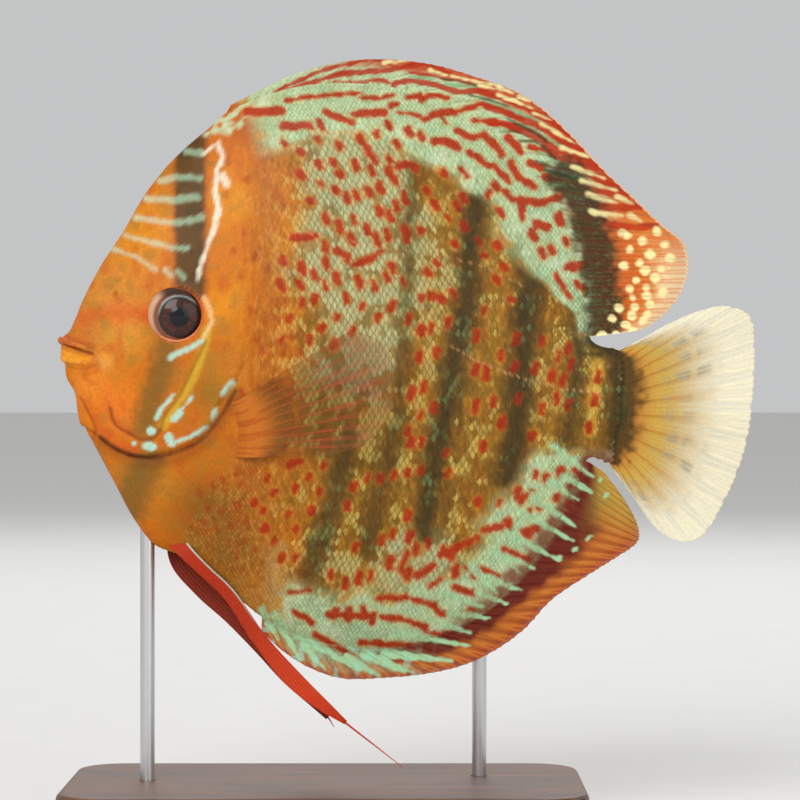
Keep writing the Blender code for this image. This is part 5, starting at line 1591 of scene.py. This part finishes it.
def make_stage():
    """A wide pale floor under an even pale sky, with soft studio light."""
    turn = np.linspace(0, 2 * np.pi, 97)[:-1]
    rim = np.stack([np.cos(turn), np.sin(turn), 0 * turn], -1) * FLOOR_REACH
    floor = linked("floor", mesh_from("floor", rim, [list(range(len(turn)))]))
    made = Surfacing("pale_floor")
    specks = made.noise((made.where, "Object"), Scale=40.0, Detail=3.0)
    made.ramp(specks, (0.0, (0.74, 0.73, 0.71)), (1.0, (0.78, 0.77, 0.75)))
    made.tune(made.shader, Roughness=0.8)
    floor.data.materials.append(made.made)
    world = bpy.data.worlds.new("studio")
    world.use_nodes = True
    sky = world.node_tree.nodes["Background"]
    sky.inputs["Color"].default_value = (0.98, 0.99, 1.0, 1)
    sky.inputs["Strength"].default_value = 0.56
    bpy.context.scene.world = world
    for name, place, target, size, power in LIGHTS:
        data = bpy.data.lights.new(name, "AREA")
        data.size = size * MM
        data.energy = power
        lamp = linked(name, data)
        lamp.location = [c * MM for c in place]
        aim = Vector(target) - Vector(place)
        lamp.rotation_euler = aim.to_track_quat("-Z", "Y").to_euler()


SENSOR_WIDTH, PHOTO_WIDTH = 36.0, 800


def make_camera():
    """A camera straight in front of the chart's middle, as far off as the photo's."""
    data = bpy.data.cameras.new("camera")
    camera = linked("camera", data)
    data.sensor_width = SENSOR_WIDTH
    data.lens = SENSOR_WIDTH * VIEW_DISTANCE / (PHOTO_WIDTH * CHART_UNIT)
    camera.location = (VIEW_CENTRE[0] * MM, -VIEW_DISTANCE * MM, VIEW_CENTRE[1] * MM)
    camera.rotation_euler = (math.pi / 2, 0, 0)
    data.clip_start, data.clip_end = 0.05, 100
    bpy.context.scene.camera = camera
    bpy.context.scene.view_settings.view_transform = "Standard"


SPLIT, SPLIT_TWICE = ((0.45, 0.2),), ((0.2, 0.22), (0.55, 0.1))
# Each middle fin's rays, ray count, spines, splits, heart, sway, columns, rows, notch, painter.
MIDDLE_FINS = {
    "dorsal_fin": (DORSAL_RAYS, 40, 9, SPLIT, BODY_HEART, 0.5, 560, 64, 0.018, paint_dorsal),
    "anal_fin": (ANAL_RAYS, 36, 8, SPLIT, BODY_HEART, -0.5, 520, 60, 0.018, paint_anal),
    "caudal_fin": (CAUDAL_RAYS, 16, 0, SPLIT_TWICE, TAIL_HEART, 0.7, 400, 90, 0.015, paint_caudal),
}


def make_fish():
    """Every piece of the fish, from the skin out to the fins."""
    skin = painted("fish_skin", 0.46, 0.03, 2400.0, 0.00006, 0.1)
    scales = painted("fish_scales", 0.44, 0.03, 3800.0, 0.00004, 0.2, tall=4.0)
    fins = painted("fish_fins", 0.5, 0.02, 3000.0, 0.00003, 0.08, clear=True, soft=False)
    lips = painted("fish_lips", 0.42, 0.06, 2000.0, 0.00008, 0.12)
    eyes = eye_material()
    shape = Surface()
    make_skin(skin)
    make_scales(shape, scales)
    flank_at_eye = -shape.under(*EYE_PLACE)[0][1]
    for side, word in ((-1, "left"), (1, "right")):
        make_eye(word, side, flank_at_eye, eyes)
        eye_rim(word, side, shape, lips)
    lip("lip_upper", UPPER_LIP, UPPER_RADIUS, colour(186, 98, 40), lips)
    lip("lip_lower", LOWER_LIP, LOWER_RADIUS, colour(240, 160, 40), lips)
    for name, facts in MIDDLE_FINS.items():
        middle_fin(name, *facts, fins)
    flank = -shape.under(*PECTORAL_RAYS[3][0])[0][1]
    pectoral("left", -1, 0.0, flank, fins)
    pectoral("right", 1, RIGHT_SWING, flank, fins)
    pelvic("left", NEAR_PELVIC, NEAR_THREAD, colour(204, 64, 34), fins)
    # The far fin's darker red is painted shade: the same fin red, shaded.
    pelvic("right", FAR_PELVIC, FAR_THREAD, colour(128, 44, 30), fins)


make_camera()
make_stage()
dress_stand()
make_fish()
